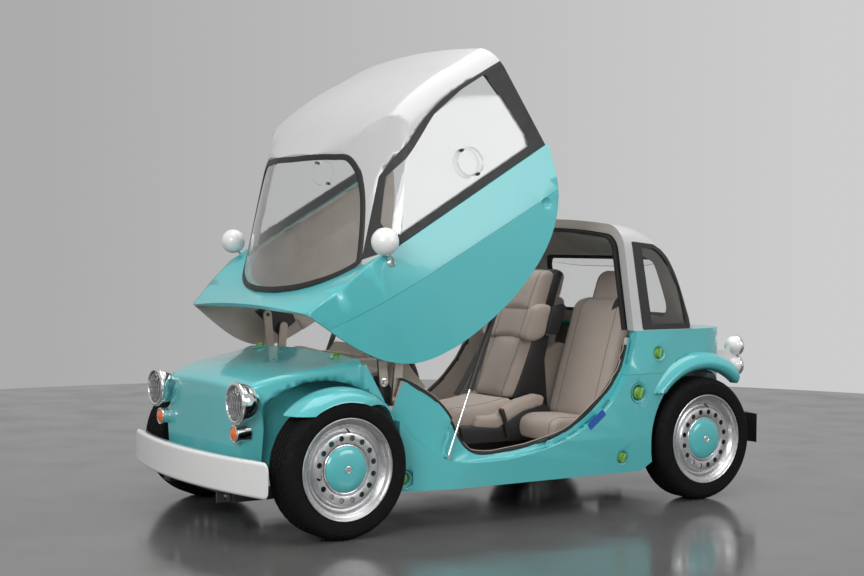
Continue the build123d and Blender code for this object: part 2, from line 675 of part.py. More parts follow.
def tail_lamps():
    """White ball lamps, two on an arm at each side."""
    arc = ThreePointArc((-TAIL_BALL, 8), (0, TAIL_BALL), (TAIL_BALL, 8))
    ball = revolve(make_face(arc + Polyline((TAIL_BALL, 8), (TAIL_BALL, 0), (-TAIL_BALL, 0), (-TAIL_BALL, 8))), Axis.X)
    ball = Rot(0, 0, 90) * ball
    arm = Pos(450, 2060, 606) * Box(24, 200, 60) - body_block(SHUT_Z - 260, BELT_Z)
    lamp = arm + Pos(450, 2160, 651) * ball + Pos(450, 2160, 561) * ball
    return both_sides(lamp)


# ---------------------------------------------------------------- seats and controls

def seat_block(x, width, outline):
    face = Plane.YZ * make_face(Polyline(*outline, close=True))
    return across(face, x - width / 2, x + width / 2)


def child_seat_shell():
    return seat_block(0, 200, [(830, FLOOR_TOP + 0.3), (820, 300), (1000, 270), (1160, 340), (1280, 640),
                               (1330, 640), (1370, FLOOR_TOP + 0.3)])


def child_seat_pads():
    cushion = seat_block(0, 336, [(770, 310), (760, 380), (1110, 440), (1140, 332), (1000, 270.4)])
    back = seat_block(0, 230, [(1115, 446), (1215, 690), (1299.5, 690), (1202, 446)])
    wings = seat_block(0, 340, [(1215, 690.3), (1272, 830), (1400, 830), (1345, 690.3)])
    head = seat_block(0, 230, [(1272, 830.5), (1330, 985), (1410, 970), (1350, 830.5)])
    return cushion + back + wings + head


def rear_seats():
    base = seat_block(265, 300, [(1150, FLOOR_TOP + 0.3), (1145, 345), (1340, 360), (1415, 590),
                                 (1560, 590), (1469, 445), (1469, FLOOR_TOP + 0.3)])
    base += seat_block(295, 380, [(1415, 590), (1500, 860), (1640, 860), (1560, 590)])
    head = seat_block(295, 230, [(1530, 860.3), (1575, 985), (1690, 985), (1650, 860.3)])
    return both_sides(base + head)


def dashboard():
    """Bent dash panel with closed ends and a hood over the wheel."""
    start = FIREWALL_Y + 0.3
    top = [(start, 594), (290, 614), (330, 650), (385, 650), (429, 594), (481, 536)]
    under = [(466, 522), (417, 580), (378, 635), (336, 635), (296, 599), (start, 579)]
    panel = side_region(top + under) & Box(2 * DASH_HALF, 3000, 3000)
    ends = side_region(top + [(455, 510), (start, 560)])
    ends = ends & both_sides(Pos(DASH_HALF - 6, 0, 0) * Box(12, 3000, 3000))
    hood = side_region([(350, 640), (392, 688), (440, 682), (452, 560), (440, 580), (430, 660), (392, 668), (362, 640)])
    under_cowl = canopy_skin(CANOPY_WALL + 2 * GAP) + Pos(0, 480, 600) * Box(300, 290, 400)
    dash = (panel + ends + (hood & Box(280, 3000, 3000))) & under_cowl
    return dash - rod_between((0, 140, 396), (0, 620, 567), 19.5)


def steering_column():
    tube = rod_between((0, 140, 396), (0, 604.2, 561.5), 18)
    return tube - Pos(0, FIREWALL_Y - 150, 400) * Box(300, 300, 400)


def steering_wheel():
    ring = Torus(150, 13)
    spokes = Cylinder(36, 16) + Box(300, 24, 10) + Pos(0, -70, 0) * Box(24, 140, 10)
    return Plane(origin=(0, 612, 564.3), z_dir=(0, 395, 140), x_dir=(1, 0, 0)) * (ring + spokes)


# ---------------------------------------------------------------- canopy

def opened(shape):
    """Turn a piece from the closed place to the open pose."""
    return Pos(0, POLE_Y, POLE_Z) * Rot(OPEN_ANGLE, 0, 0) * Pos(0, -POLE_Y, -POLE_Z) * shape


def canopy_skin(inset):
    """Canopy's lower outer form: cowl and side panels up to the belt."""
    rows = [(150, [(500, 200), (503, 547), (502, 640)], 30), (300, [(570, 200), (572, 550), (568, 674)], -14),
            (450, [(614, 200), (616, 553), (606, 706)], -44), (640, [(637, 200), (640, 557), (618, 716)], -50),
            (1430, [(637, 200), (640, 574), (616, 757)], -50)]
    faces = []
    for y, points, crown in rows:
        shrunk = [(x - inset, z - (inset if k == 2 else 0)) for k, (x, z) in enumerate(points)]
        edges = section(y, shrunk, crown)
        faces.append(Plane(origin=(0, y, 0), x_dir=(1, 0, 0), z_dir=(0, -1, 0)) * make_face(edges))
    return loft(faces, ruled=True)


def canopy_region():
    """What the canopy fills: the opening less a shut gap."""
    return across(region_above(moved_in(LEDGE, GAP), SPLIT_TOP_Y - GAP), -900, 900)


def canopy_lower():
    skin = canopy_skin(0) - canopy_skin(CANOPY_WALL)
    skin = skin & canopy_region()
    pocket = side_region([(450, 230), (450, 292), (640, 306), (640, 230)]) & canopy_skin(8)
    pin = turned((STRUT_TOP_Y, STRUT_TOP_Z), -OPEN_ANGLE)
    stud = x_cylinder(STRUT_PIN_RADIUS, STRUT_X - 12, SIDE_X - 12, *pin)
    groove = side_region([(172, 545.5), (1358, 571.5), (1358, 575), (172, 549)]) - canopy_skin(3)
    dimple = both_sides(Pos(SIDE_X + 17, 1275, 552) * Sphere(30))
    return skin - greenhouse(WALL) - pocket - groove - dimple + both_sides(stud)


def canopy_roof():
    shell = greenhouse() - greenhouse(WALL)
    shell = shell & canopy_region()
    shell = shell & Pos(0, 800, CABIN_BASE_Z + 500) * Box(2000, 2000, 1000)
    shell -= canopy_skin(0)
    return shell - side_window() - windscreen_hole()


def side_window():
    """Opening for a side window with its frame, up to the canopy's rear edge."""
    pts = [(456, 708), (543, 823), (680, 945), (832, 1033), (1000, 1098), (1197, 1126), (1450, 1136)]
    face = Plane.YZ * make_face(Spline(*pts) + Polyline(pts[-1], (1450, 700), pts[0]))
    return both_sides(across(face, 490, 900))


def side_sight():
    """Clear part of a side window inside its black frame."""
    pts = [(595, 744), (602, 806), (712, 949), (850, 1006), (998, 1079), (1165, 1110), (1296, 1117), (1320, 995),
           (1341, 830), (1330, 783)]
    face = Plane.YZ * fillet(make_face(Polyline(*pts, close=True)).vertices(), 12)
    return both_sides(across(face, 480, 900))


def windscreen_hole():
    side = [(496, 690), (490, 731), (470, 851), (440, 950), (408, 1008), (350, 1060), (200, 1088)]
    edge = Spline(*side, (0, 1096), *[(-x, z) for x, z in reversed(side)])
    face = make_face(edge + ThreePointArc(edge @ 1, (0, 640), edge @ 0))
    tool = extrude(Plane(origin=(0, -200, 0), x_dir=(1, 0, 0), z_dir=(0, -1, 0)) * face, -1100)
    return tool


def windscreen():
    pane = (greenhouse(3) - greenhouse(3 + PANE)) & windscreen_hole() & Box(2 * SCREEN_HALF, 4000, 4000)
    return pane - canopy_skin(0)


def side_glass():
    return both_sides((greenhouse(3) - greenhouse(3 + PANE)) & side_sight() & left_half())


def canopy_frames():
    """Black frames round the side windows."""
    side = (greenhouse(0.5) - greenhouse(22)) & (side_window() - side_sight()) & canopy_region()
    return both_sides((side & left_half()) - canopy_skin(0))


def mirrors():
    ball = Pos(648, 523, 766) * Sphere(53)
    stalk = rod_between((600, 532, 656), (640, 525, 742), 7)
    return both_sides(ball + stalk - canopy_skin(0))


def ring_handles():
    ring = Plane(origin=(600, 1040, 850), z_dir=(1, 0, 0.14)) * Torus(57, 6)
    studs = x_cylinder(5, 560, 598, 1032, 906) + x_cylinder(5, 560, 602, 1049, 794)
    return both_sides(ring + (studs - greenhouse(2.8)))


def turned(point, angle):
    """A side-view point turned about the pole."""
    a = math.radians(angle)
    y, z = point[0] - POLE_Y, point[1] - POLE_Z
    return (POLE_Y + y * math.cos(a) - z * math.sin(a), POLE_Z + y * math.sin(a) + z * math.cos(a))


def moving_pivot(fixed, lean):
    """Arm's upper pin in the open pose: it lies on the pole's ray at half the opening angle."""
    ray = math.atan2(fixed[1] - POLE_Z, fixed[0] - POLE_Y) + math.radians(OPEN_ANGLE / 2)
    dy, dz = math.cos(math.radians(lean)), math.sin(math.radians(lean))
    ny, nz = -math.sin(ray), math.cos(ray)
    t = -((fixed[0] - POLE_Y) * ny + (fixed[1] - POLE_Z) * nz) / (dy * ny + dz * nz)
    return (fixed[0] + t * dy, fixed[1] + t * dz)


FRONT_TOP = moving_pivot(FRONT_PIVOT, FRONT_ARM_LEAN)
REAR_TOP = moving_pivot(REAR_PIVOT, REAR_ARM_LEAN)


def link(a, b, x0, x1, bored):
    """Flat arm with round ends from a to b, bored for the pins at the points in bored."""
    length = math.hypot(b[0] - a[0], b[1] - a[1])
    angle = math.degrees(math.atan2(b[1] - a[1], b[0] - a[0]))
    bar = SlotCenterToCenter(length, ARM_WIDTH)
    face = Pos((a[0] + b[0]) / 2, (a[1] + b[1]) / 2) * Rot(0, 0, angle) * bar
    for p in bored:
        face -= Pos(*p) * Circle(PIN_RADIUS + PIN_CLEARANCE)
    return across(Plane.YZ * face, x0, x1)


def front_arms():
    return both_sides(link(FRONT_PIVOT, FRONT_TOP, ARM_X - ARM_THICK, ARM_X, (FRONT_PIVOT, FRONT_TOP)))


def rear_arms():
    x0 = ARM_X + ARM_GAP
    return both_sides(link(REAR_PIVOT, REAR_TOP, x0, x0 + ARM_THICK, (REAR_PIVOT,)))


def pivot_brackets():
    """Brackets on the firewall that carry the arms' lower pins."""
    start = FIREWALL_Y + 0.3
    plate = make_face(Polyline((start, 470), (start, 590), (275, 590), (330, 500), (320, 470), close=True))
    plate = across(Plane.YZ * plate, ARM_X - 36, ARM_X - 24) - front_well(LINER_WALL + 0.3)
    pins = x_cylinder(PIN_RADIUS, ARM_X - 26, ARM_X + 4, *FRONT_PIVOT)
    pins += x_cylinder(PIN_RADIUS, ARM_X - 26, ARM_X + ARM_GAP + ARM_THICK + 4, *REAR_PIVOT)
    return both_sides(plate + pins)


def canopy_hinges():
    """Plates inside the canopy that carry the arms' upper pins."""
    front = turned(FRONT_TOP, -OPEN_ANGLE)
    rear = turned(REAR_TOP, -OPEN_ANGLE)
    x0 = ARM_X + 28
    plate = make_face(Polyline((front[0] - 30, front[1] + 30), (front[0] + 80, front[1] + 30),
                               (rear[0] + 82, rear[1] + 60), (rear[0] + 70, rear[1] - 15),
                               (rear[0] - 30, rear[1] - 30), close=True))
    plate = across(Plane.YZ * plate, x0, x0 + 10)
    foot = Pos(x0 + 60, rear[0] + 72, rear[1] + 35) * Box(100, 12, 100)
    pins = x_cylinder(PIN_RADIUS, ARM_X - 14, x0 + 2, *front)
    pins += x_cylinder(PIN_RADIUS, ARM_X + ARM_GAP + ARM_THICK + 0.3, x0 + 2, *rear)
    return both_sides(plate + (foot & canopy_skin(CANOPY_WALL)) + pins)


def strut_points():
    """Gas strut's ball on the body and its pin on the canopy, in the open pose."""
    top = turned((STRUT_TOP_Y, STRUT_TOP_Z), 0)
    return (STRUT_X, BALL_Y, BALL_Z), (STRUT_X, top[0], top[1])


def strut_cylinders():
    """Gas strut bodies: bored for the rod, with an eye on the canopy's stud."""
    low, high = (Vector(*p) for p in strut_points())
    way = (high - low).normalized()
    start = low + way * STRUT_BARE
    body = rod_between(start, high - way * 6, CYLINDER_RADIUS)
    body -= rod_between(start - way, start + way * STRUT_STROKE, ROD_RADIUS + 0.6)
    body += x_cylinder(11, STRUT_X - 8, STRUT_X + 8, high.Y, high.Z)
    body -= x_cylinder(STRUT_PIN_RADIUS + PIN_CLEARANCE, STRUT_X - 20, STRUT_X + 20, high.Y, high.Z)
    return both_sides(body)


def strut_rods():
    """Polished rods, each with an end disc beside its stud on the tub."""
    low, high = (Vector(*p) for p in strut_points())
    way = (high - low).normalized()
    rod = rod_between(low, low + way * (STRUT_BARE + 12), ROD_RADIUS)
    rod += x_cylinder(9, STRUT_X - 6, STRUT_X + 6, low.Y, low.Z)
    return both_sides(rod)


def strut_studs():
    """Studs on the ledge that the rods' end discs sit against."""
    stud = x_cylinder(6, 560, STRUT_X - 6.3, BALL_Y, BALL_Z)
    return both_sides(stud)


def strut_sweep(lower=0.0):
    """Side-view region that the gas struts pass over between open and closed."""
    return side_region([(462, 248 - lower), (600, 255 - lower), (760, 258 - lower), (880, 270 - lower),
                        (975, 288 - lower), (985, 345), (700, 700), (520, 450), (490, 390), (462, 325)])


def strut_room():
    """Space outboard of the recessed panel beside the gas struts."""
    return strut_sweep() & both_sides(Pos(STRUT_X - CYLINDER_RADIUS - GAP + 100, 0, 0) * Box(200, 3000, 3000))


def strut_panel():
    """Recessed wall beside the gas struts, joined to the full wall below it."""
    inner = STRUT_X - CYLINDER_RADIUS - GAP - TUB_WALL
    slab = strut_sweep(TUB_WALL / 2) & both_sides(Pos(inner + TUB_WALL * 0.75, 0, 0) * Box(TUB_WALL * 1.5, 3000, 3000))
    return (slab - strut_room()) & body_block(165, BELT_Z, WALL + TUB_GAP)


PIECES = {
    "nose_body": nose_body, "sill_panels": sill_panels, "rear_body": rear_body,
    "rear_fenders": rear_fenders, "inner_tub": inner_tub,
    "rear_roof": rear_roof, "rear_windows": rear_windows, "rear_frames": rear_frames, "dashboard": dashboard,
    "door_seals": door_seals, "frame_rails": frame_rails, "battery_block": battery_block,
    "motor_block": motor_block, "front_suspension": front_suspension, "rear_axle": rear_axle,
    "front_bumper": front_bumper, "rear_bumper": rear_bumper, "headlamps": headlamps,
    "headlamp_rings": headlamp_rings, "headlamp_lenses": headlamp_lenses,
    "turn_signals": turn_signals, "tail_lamps": tail_lamps, "child_seat_shell": child_seat_shell,
    "child_seat_pads": child_seat_pads, "rear_seats": rear_seats,
    "steering_column": steering_column, "steering_wheel": steering_wheel,
    "pivot_brackets": pivot_brackets, "front_arms": front_arms, "rear_arms": rear_arms,
    "strut_cylinders": strut_cylinders, "strut_rods": strut_rods,
}
CANOPY_PIECES = {
    "canopy_lower": canopy_lower, "canopy_roof": canopy_roof, "canopy_frames": canopy_frames,
    "windscreen": windscreen,
    "side_glass": side_glass, "mirrors": mirrors, "ring_handles": ring_handles,
    "canopy_hinges": canopy_hinges,
}

for name, make in PIECES.items():
    keep(name, make())
for name, make in CANOPY_PIECES.items():
    keep(name, opened(make()))
for place, y, side in (("front_left", 0, 1), ("front_right", 0, -1),
                       ("rear_left", WHEELBASE, 1), ("rear_right", WHEELBASE, -1)):
    keep("tyre_" + place, tyre(y, side))
    keep("rim_" + place, rim(y, side))
    keep("hub_cap_" + place, hub_cap(y, side))
keep("knuckle_left", knuckle())
keep("knuckle_right", knuckle().mirror(Plane.YZ))
keep("fender_left", fender() - knuckle())
keep("fender_right", (fender() - knuckle()).mirror(Plane.YZ))
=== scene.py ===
import json
import math

import bmesh
import bpy
from mathutils.bvhtree import BVHTree
from mathutils import Matrix, Vector

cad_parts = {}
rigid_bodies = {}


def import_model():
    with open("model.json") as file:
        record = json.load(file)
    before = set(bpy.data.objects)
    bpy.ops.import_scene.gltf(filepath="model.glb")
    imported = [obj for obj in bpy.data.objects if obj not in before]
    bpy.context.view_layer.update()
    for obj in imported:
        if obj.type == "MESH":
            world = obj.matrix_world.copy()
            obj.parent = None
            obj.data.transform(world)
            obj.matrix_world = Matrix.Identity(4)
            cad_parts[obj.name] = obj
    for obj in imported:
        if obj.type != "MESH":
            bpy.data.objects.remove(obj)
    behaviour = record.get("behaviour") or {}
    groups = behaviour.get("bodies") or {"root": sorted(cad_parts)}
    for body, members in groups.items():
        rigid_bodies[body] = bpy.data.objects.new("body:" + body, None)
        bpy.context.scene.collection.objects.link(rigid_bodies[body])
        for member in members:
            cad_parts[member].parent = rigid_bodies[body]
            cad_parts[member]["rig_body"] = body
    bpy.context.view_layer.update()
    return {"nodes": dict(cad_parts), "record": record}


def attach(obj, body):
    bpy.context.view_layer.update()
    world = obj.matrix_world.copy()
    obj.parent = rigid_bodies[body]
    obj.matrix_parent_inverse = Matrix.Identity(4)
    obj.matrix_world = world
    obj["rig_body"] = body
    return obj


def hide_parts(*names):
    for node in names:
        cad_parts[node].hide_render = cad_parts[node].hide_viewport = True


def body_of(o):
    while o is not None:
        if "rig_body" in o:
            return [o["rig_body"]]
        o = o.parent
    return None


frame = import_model()
NODES = frame["nodes"]
RECORD = frame["record"]

# Sizes and places are in millimetres from the front axle's middle on the floor, on the car's closed shape;
# at() turns them into the frame's metres. X is to the car's left, Y to the rear.
MIDDLE_Y = 0.95
WHEELBASE = 1800
AXLE_Z = 266
RIM_FACE_X = 650

# The canopy opens about a pole across the car: closed places are turned by this angle about it.
POLE = Vector((0.0, -0.364 - MIDDLE_Y, 0.196))
OPEN_ANGLE = math.radians(27.71)
OPENED = Matrix.Translation(POLE) @ Matrix.Rotation(OPEN_ANGLE, 4, "X") @ Matrix.Translation(-POLE)

SIDES = (1, -1)
BOTH = ((1, "left"), (-1, "right"))


# ---- materials

def tuned(made, **values):
    """Set a node's sockets or properties by name."""
    for key, value in values.items():
        label = key.replace("_", " ").title().replace("Ior", "IOR")
        if label in made.inputs:
            made.inputs[label].default_value = value
        else:
            setattr(made, key, value)
    return made


def material(name, color, rough, metallic=0.0):
    """A Principled material and its main node."""
    mat = bpy.data.materials.new(name)
    mat.use_nodes = True
    main = mat.node_tree.nodes["Principled BSDF"]
    return mat, tuned(main, base_color=(*color, 1.0), roughness=rough, metallic=metallic)


def node(mat, kind, **values):
    """Add a shader node to a material or world."""
    return tuned(mat.node_tree.nodes.new(kind), **values)


def join(mat, out, into):
    """Link an output to an input."""
    mat.node_tree.links.new(out, into)


def place(mat):
    """Coordinates in the piece's own space, in metres."""
    return node(mat, "ShaderNodeTexCoord").outputs["Object"]


def noise(mat, scale, detail=3.0, rough=0.5):
    """Noise that stays with the piece."""
    made = node(mat, "ShaderNodeTexNoise", scale=scale, detail=detail, roughness=rough)
    join(mat, place(mat), made.inputs["Vector"])
    return made.outputs["Fac"]


def spread(mat, fac, low, high, from_low=0.3, from_high=0.7):
    """Map a 0 to 1 factor onto a number between low and high."""
    made = node(mat, "ShaderNodeMapRange", from_min=from_low, from_max=from_high, to_min=low, to_max=high)
    join(mat, fac, made.inputs["Value"])
    return made.outputs["Result"]


def two_tone(mat, fac, dark, light):
    """Mix two colours by a factor."""
    made = node(mat, "ShaderNodeMix", data_type="RGBA", a=(*dark, 1.0), b=(*light, 1.0))
    join(mat, fac, made.inputs["Factor"])
    return made.outputs["Result"]


def scaled(color, share):
    """A colour made darker or lighter."""
    return tuple(min(1.0, c * share) for c in color)


def vary(mat, main, color, scale, amount):
    """Let the colour drift a little over the surface."""
    drift = spread(mat, noise(mat, scale), 0.0, 1.0)
    tone = two_tone(mat, drift, scaled(color, 1 - amount), scaled(color, 1 + amount))
    join(mat, tone, main.inputs["Base Color"])


def rough_vary(mat, main, scale, low, high):
    """Let the roughness drift between two values."""
    join(mat, spread(mat, noise(mat, scale, 4.0), low, high), main.inputs["Roughness"])


def grain(mat, main, height, strength=1.0, distance=0.001):
    """Fine relief from a height signal."""
    bump = node(mat, "ShaderNodeBump", strength=strength, distance=distance)
    join(mat, height, bump.inputs["Height"])
    join(mat, bump.outputs["Normal"], main.inputs["Normal"])


def paint(name, color, rough=0.22, amount=0.03):
    """Gloss lacquer: colour coat under a clear coat with a faint ripple."""
    mat, main = material(name, color, rough)
    vary(mat, main, color, 2.2, amount)
    rough_vary(mat, main, 9.0, rough * 0.8, rough * 1.25)
    tuned(main, coat_weight=0.7, coat_roughness=0.04)
    grain(mat, main, noise(mat, 260.0, 2.0), 0.05, 0.0004)
    return mat


def plastic(name, color, rough, grain_scale=900.0, strength=0.25):
    """Moulded plastic with a fine grain."""
    mat, main = material(name, color, rough)
    vary(mat, main, color, 6.0, 0.07)
    rough_vary(mat, main, 30.0, rough * 0.85, min(1.0, rough * 1.15))
    grain(mat, main, noise(mat, grain_scale, 2.0), strength, 0.0006)
    return mat


def metal(name, color, rough, scale=60.0, bump=0.1):
    """Bare or plated metal with faint streaks of roughness."""
    mat, main = material(name, color, rough, 1.0)
    vary(mat, main, color, 12.0, 0.06)
    rough_vary(mat, main, scale, rough * 0.7, min(1.0, rough * 1.4))
    grain(mat, main, noise(mat, scale * 8, 3.0), bump, 0.0003)
    return mat


def clear(name, color, rough=0.02):
    """Clear acrylic with the faintest haze."""
    mat, main = material(name, color, rough)
    tuned(main, transmission_weight=1.0, ior=1.45)
    rough_vary(mat, main, 5.0, rough * 0.4, rough * 1.8)
    return mat


def math_node(mat, operation, *values):
    """Result of a sum on numbers or other nodes' outputs."""
    made = node(mat, "ShaderNodeMath", operation=operation)
    for socket, value in zip(made.inputs, values):
        if isinstance(value, (int, float)):
            socket.default_value = value
        else:
            join(mat, value, socket)
    return made.outputs["Value"]


def cloth(name, color, speck=520.0):
    """Fine flecked upholstery cloth: a noisy nap with a speckled, slightly mottled colour."""
    mat, main = material(name, color, 0.9)
    fleck = noise(mat, speck, 5.0, 0.7)
    grain(mat, main, fleck, 0.55, 0.0012)
    patches, flecks = noise(mat, 14.0, 4.0), spread(mat, fleck, 0.05, 0.75, 0.35, 0.65)
    mottle = math_node(mat, "MULTIPLY_ADD", patches, 0.25, flecks)
    join(mat, two_tone(mat, mottle, scaled(color, 0.66), scaled(color, 1.25)), main.inputs["Base Color"])
    tuned(main, sheen_weight=0.25, sheen_roughness=0.5)
    return mat


TURQUOISE = (0.088, 0.47, 0.49)
BEIGE = (0.44, 0.395, 0.35)
ROOF_WHITE = (0.50, 0.50, 0.497)
HEADLINER = (0.50, 0.46, 0.42)
LACQUER_ROUGH = 0.22
MATERIALS = {
    "body_paint": paint("turquoise lacquer", TURQUOISE),
    "white_paint": paint("pearl white lacquer", (0.80, 0.80, 0.795), 0.3, 0.015),
    "interior_trim": plastic("grey beige trim", (0.36, 0.315, 0.27), 0.6),
    "window_glass": clear("clear acrylic", (0.97, 0.985, 0.98)),
    "lamp_glass": clear("lamp glass", (0.98, 0.98, 0.98)),
    "seal_rubber": plastic("black seal rubber", (0.012, 0.012, 0.012), 0.5, 600.0),
    "tyre": plastic("tyre rubber", (0.006, 0.006, 0.006), 0.8, 350.0, 0.5),
    "rim_silver": metal("silver wheel paint", (0.62, 0.62, 0.63), 0.34),
    "frame_steel": plastic("black chassis paint", (0.03, 0.03, 0.032), 0.45, 300.0),
    "dark_plastic": plastic("black moulded plastic", (0.022, 0.022, 0.024), 0.42),
    "chrome": metal("chrome plate", (0.86, 0.87, 0.88), 0.06, 20.0, 0.02),
    "link_metal": metal("champagne anodised arm", (0.52, 0.47, 0.41), 0.38),
    "seat_fabric": cloth("beige woven cloth", (0.46, 0.39, 0.34)),
    "signal_orange": plastic("amber lens", (0.75, 0.17, 0.03), 0.15, 200.0),
}


def parts_of(mat, vector):
    """X, Y and Z of a vector."""
    made = node(mat, "ShaderNodeSeparateXYZ")
    join(mat, vector, made.inputs["Vector"])
    return made.outputs["X"], made.outputs["Y"], made.outputs["Z"]


def closed_vectors(mat, spot):
    """Place and normal turned back from the open canopy's pose to the closed one."""
    turned = []
    for output, about in (("Object", POLE), ("Normal", (0.0, 0.0, 0.0))):
        turn = node(mat, "ShaderNodeVectorRotate", rotation_type="X_AXIS", center=about, angle=-OPEN_ANGLE)
        join(mat, spot.outputs[output], turn.inputs["Vector"])
        turned.append(turn.outputs["Vector"])
    return turned


def two_sided(name, outer, inner, level, on_canopy=False, shell=0.0):
    """Lacquer on the outer face and trim on the inner one, told apart by which way the face looks.

    Above the level a face that looks up is outer; with a shell, only faces farther out than that are."""
    mat, main = material(name, outer, LACQUER_ROUGH)
    spot = node(mat, "ShaderNodeTexCoord")
    where, facing = closed_vectors(mat, spot) if on_canopy else (spot.outputs["Object"], spot.outputs["Normal"])
    x, _, z = parts_of(mat, where)
    out, _, up = parts_of(mat, facing)
    side = math_node(mat, "MULTIPLY", x, out)
    if shell:
        outside = math_node(mat, "GREATER_THAN", math_node(mat, "ABSOLUTE", x), shell)
        mask = math_node(mat, "MULTIPLY", outside, math_node(mat, "GREATER_THAN", side, 0.2))
        inside = math_node(mat, "SUBTRACT", 1.0, mask)
    else:
        rise = math_node(mat, "MULTIPLY", math_node(mat, "SUBTRACT", z, level), up)
        inside = math_node(mat, "LESS_THAN", math_node(mat, "ADD", side, rise), -0.02)
    coat = two_tone(mat, spread(mat, noise(mat, 2.2), 0.0, 1.0), scaled(outer, 0.97), scaled(outer, 1.03))
    lining = two_tone(mat, spread(mat, noise(mat, 9.0), 0.0, 1.0), scaled(inner, 0.9), scaled(inner, 1.08))
    mix = node(mat, "ShaderNodeMix", data_type="RGBA")
    join(mat, inside, mix.inputs["Factor"])
    join(mat, coat, mix.inputs["A"])
    join(mat, lining, mix.inputs["B"])
    join(mat, mix.outputs["Result"], main.inputs["Base Color"])
    join(mat, math_node(mat, "MULTIPLY_ADD", inside, 0.42, 0.24), main.inputs["Roughness"])
    tuned(main, coat_weight=0.35, coat_roughness=0.06)
    grain(mat, main, math_node(mat, "MULTIPLY", noise(mat, 700.0, 2.0), inside), 0.3, 0.0006)
    return mat


def fluted():
    """Clear lamp lens with upright flutes."""
    mat = clear("fluted lamp lens", (0.985, 0.985, 0.985), 0.03)
    wave = node(mat, "ShaderNodeTexWave", bands_direction="X", scale=28.0)
    join(mat, place(mat), wave.inputs["Vector"])
    grain(mat, mat.node_tree.nodes["Principled BSDF"], wave.outputs["Fac"], 0.8, 0.004)
    return mat


def glowing(name, color):
    """Tinted moulded lens with small prisms."""
    mat, main = material(name, color, 0.15)
    vary(mat, main, color, 40.0, 0.12)
    tuned(main, coat_weight=0.6, subsurface_weight=0.15)
    cells = node(mat, "ShaderNodeTexVoronoi", scale=190.0)
    join(mat, place(mat), cells.inputs["Vector"])
    grain(mat, main, cells.outputs["Distance"], 0.4, 0.001)
    return mat


MATERIALS["tub"] = two_sided("tub lacquer and trim", TURQUOISE, BEIGE, 0.5, shell=0.44)
MATERIALS["canopy_side"] = two_sided("canopy lacquer and trim", TURQUOISE, BEIGE, 0.56, on_canopy=True)
MATERIALS["canopy_top"] = two_sided("canopy roof lacquer and trim", ROOF_WHITE, HEADLINER, 0.75, on_canopy=True)
MATERIALS["roof"] = two_sided("roof lacquer and trim", ROOF_WHITE, HEADLINER, 0.75)
tuned(MATERIALS["tyre"].node_tree.nodes["Principled BSDF"], specular_ior_level=0.15)
NODE_FINISH = {"inner_tub": "tub", "canopy_lower": "canopy_side", "canopy_roof": "canopy_top",
               "rear_roof": "roof"}
LIME = plastic("lime knob plastic", (0.17, 0.36, 0.06), 0.35, 500.0, 0.15)
AMBER = glowing("amber lens", (0.80, 0.16, 0.02))
TAIL_RED = glowing("red tail lens", (0.35, 0.012, 0.012))
FLUTED = fluted()
THREAD = plastic("welt thread", (0.20, 0.17, 0.145), 0.8, 900.0)
BUTTON_RED = plastic("red button", (0.42, 0.02, 0.02), 0.35)
WEBBING = cloth("black webbing", (0.022, 0.022, 0.024), 900.0)
BLUE = plastic("blue film", (0.02, 0.10, 0.42), 0.3, 300.0, 0.1)


def dress_nodes():
    """Give each CAD node the finish of its slot in the record."""
    for part in RECORD["subparts"]:
        piece = NODES[part["node"]]
        finish = MATERIALS[NODE_FINISH.get(part["node"], part["material_slot"])]
        if not piece.material_slots:
            piece.data.materials.append(finish)
        for entry in piece.material_slots:
            entry.material = finish


# ---- making pieces

def at(x, y, z):
    """Point given in millimetres from the front axle's middle on the floor."""
    return Vector((x / 1000, y / 1000 - MIDDLE_Y, z / 1000))


def mesh_of(name, verts, faces):
    """Mesh from points and faces."""
    mesh = bpy.data.meshes.new(name)
    mesh.from_pydata([tuple(v) for v in verts], [], faces)
    return mesh


def add(name, verts, faces, body, finish, sharp=38, gone=(), move=None):
    """New mesh piece on a body, finished in a record slot or a material."""
    keep(name, mesh_of(name, verts, faces), body, finish, sharp, gone, move)


def linked(name, data):
    """Object in the scene that shows this data."""
    made = bpy.data.objects.new(name, data)
    bpy.context.scene.collection.objects.link(made)
    return made


def cleaned(mesh, move=None):
    """Weld doubled points, turn the faces outward and move the mesh."""
    shape = bmesh.new()
    shape.from_mesh(mesh)
    bmesh.ops.remove_doubles(shape, verts=shape.verts, dist=0.00002)
    bmesh.ops.recalc_face_normals(shape, faces=shape.faces)
    if move is not None:
        shape.transform(move)
    shape.to_mesh(mesh)
    shape.free()


def keep(name, mesh, body, finish, sharp=38, gone=(), move=None):
    """Piece from a mesh, smooth up to the sharp angle, in place of the CAD nodes in gone."""
    cleaned(mesh, move)
    piece = linked(name, mesh)
    if isinstance(finish, str):
        finish = MATERIALS[finish]
    mesh.materials.append(finish)
    mesh.shade_smooth()
    mesh.set_sharp_from_angle(angle=math.radians(sharp))
    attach(piece, body)
    if gone:
        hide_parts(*gone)


def merged(parts):
    """One list of points and faces from several."""
    verts, faces = [], []
    for more_verts, more_faces in parts:
        base = len(verts)
        verts += list(more_verts)
        faces += [tuple(i + base for i in face) for face in more_faces]
    return verts, faces


def rings(rows, around, closed=False, loop=True):
    """Faces between rows of points, each row of the same number of points."""
    faces = []
    for i in range(rows if closed else rows - 1):
        start, following = i * around, (i + 1) % rows * around
        for j in range(around if loop else around - 1):
            k = (j + 1) % around
            faces.append((start + j, start + k, following + k, following + j))
    return faces


def heading(points, i):
    """Direction of a line at one of its points."""
    return (points[min(i + 1, len(points) - 1)] - points[max(i - 1, 0)]).normalized()


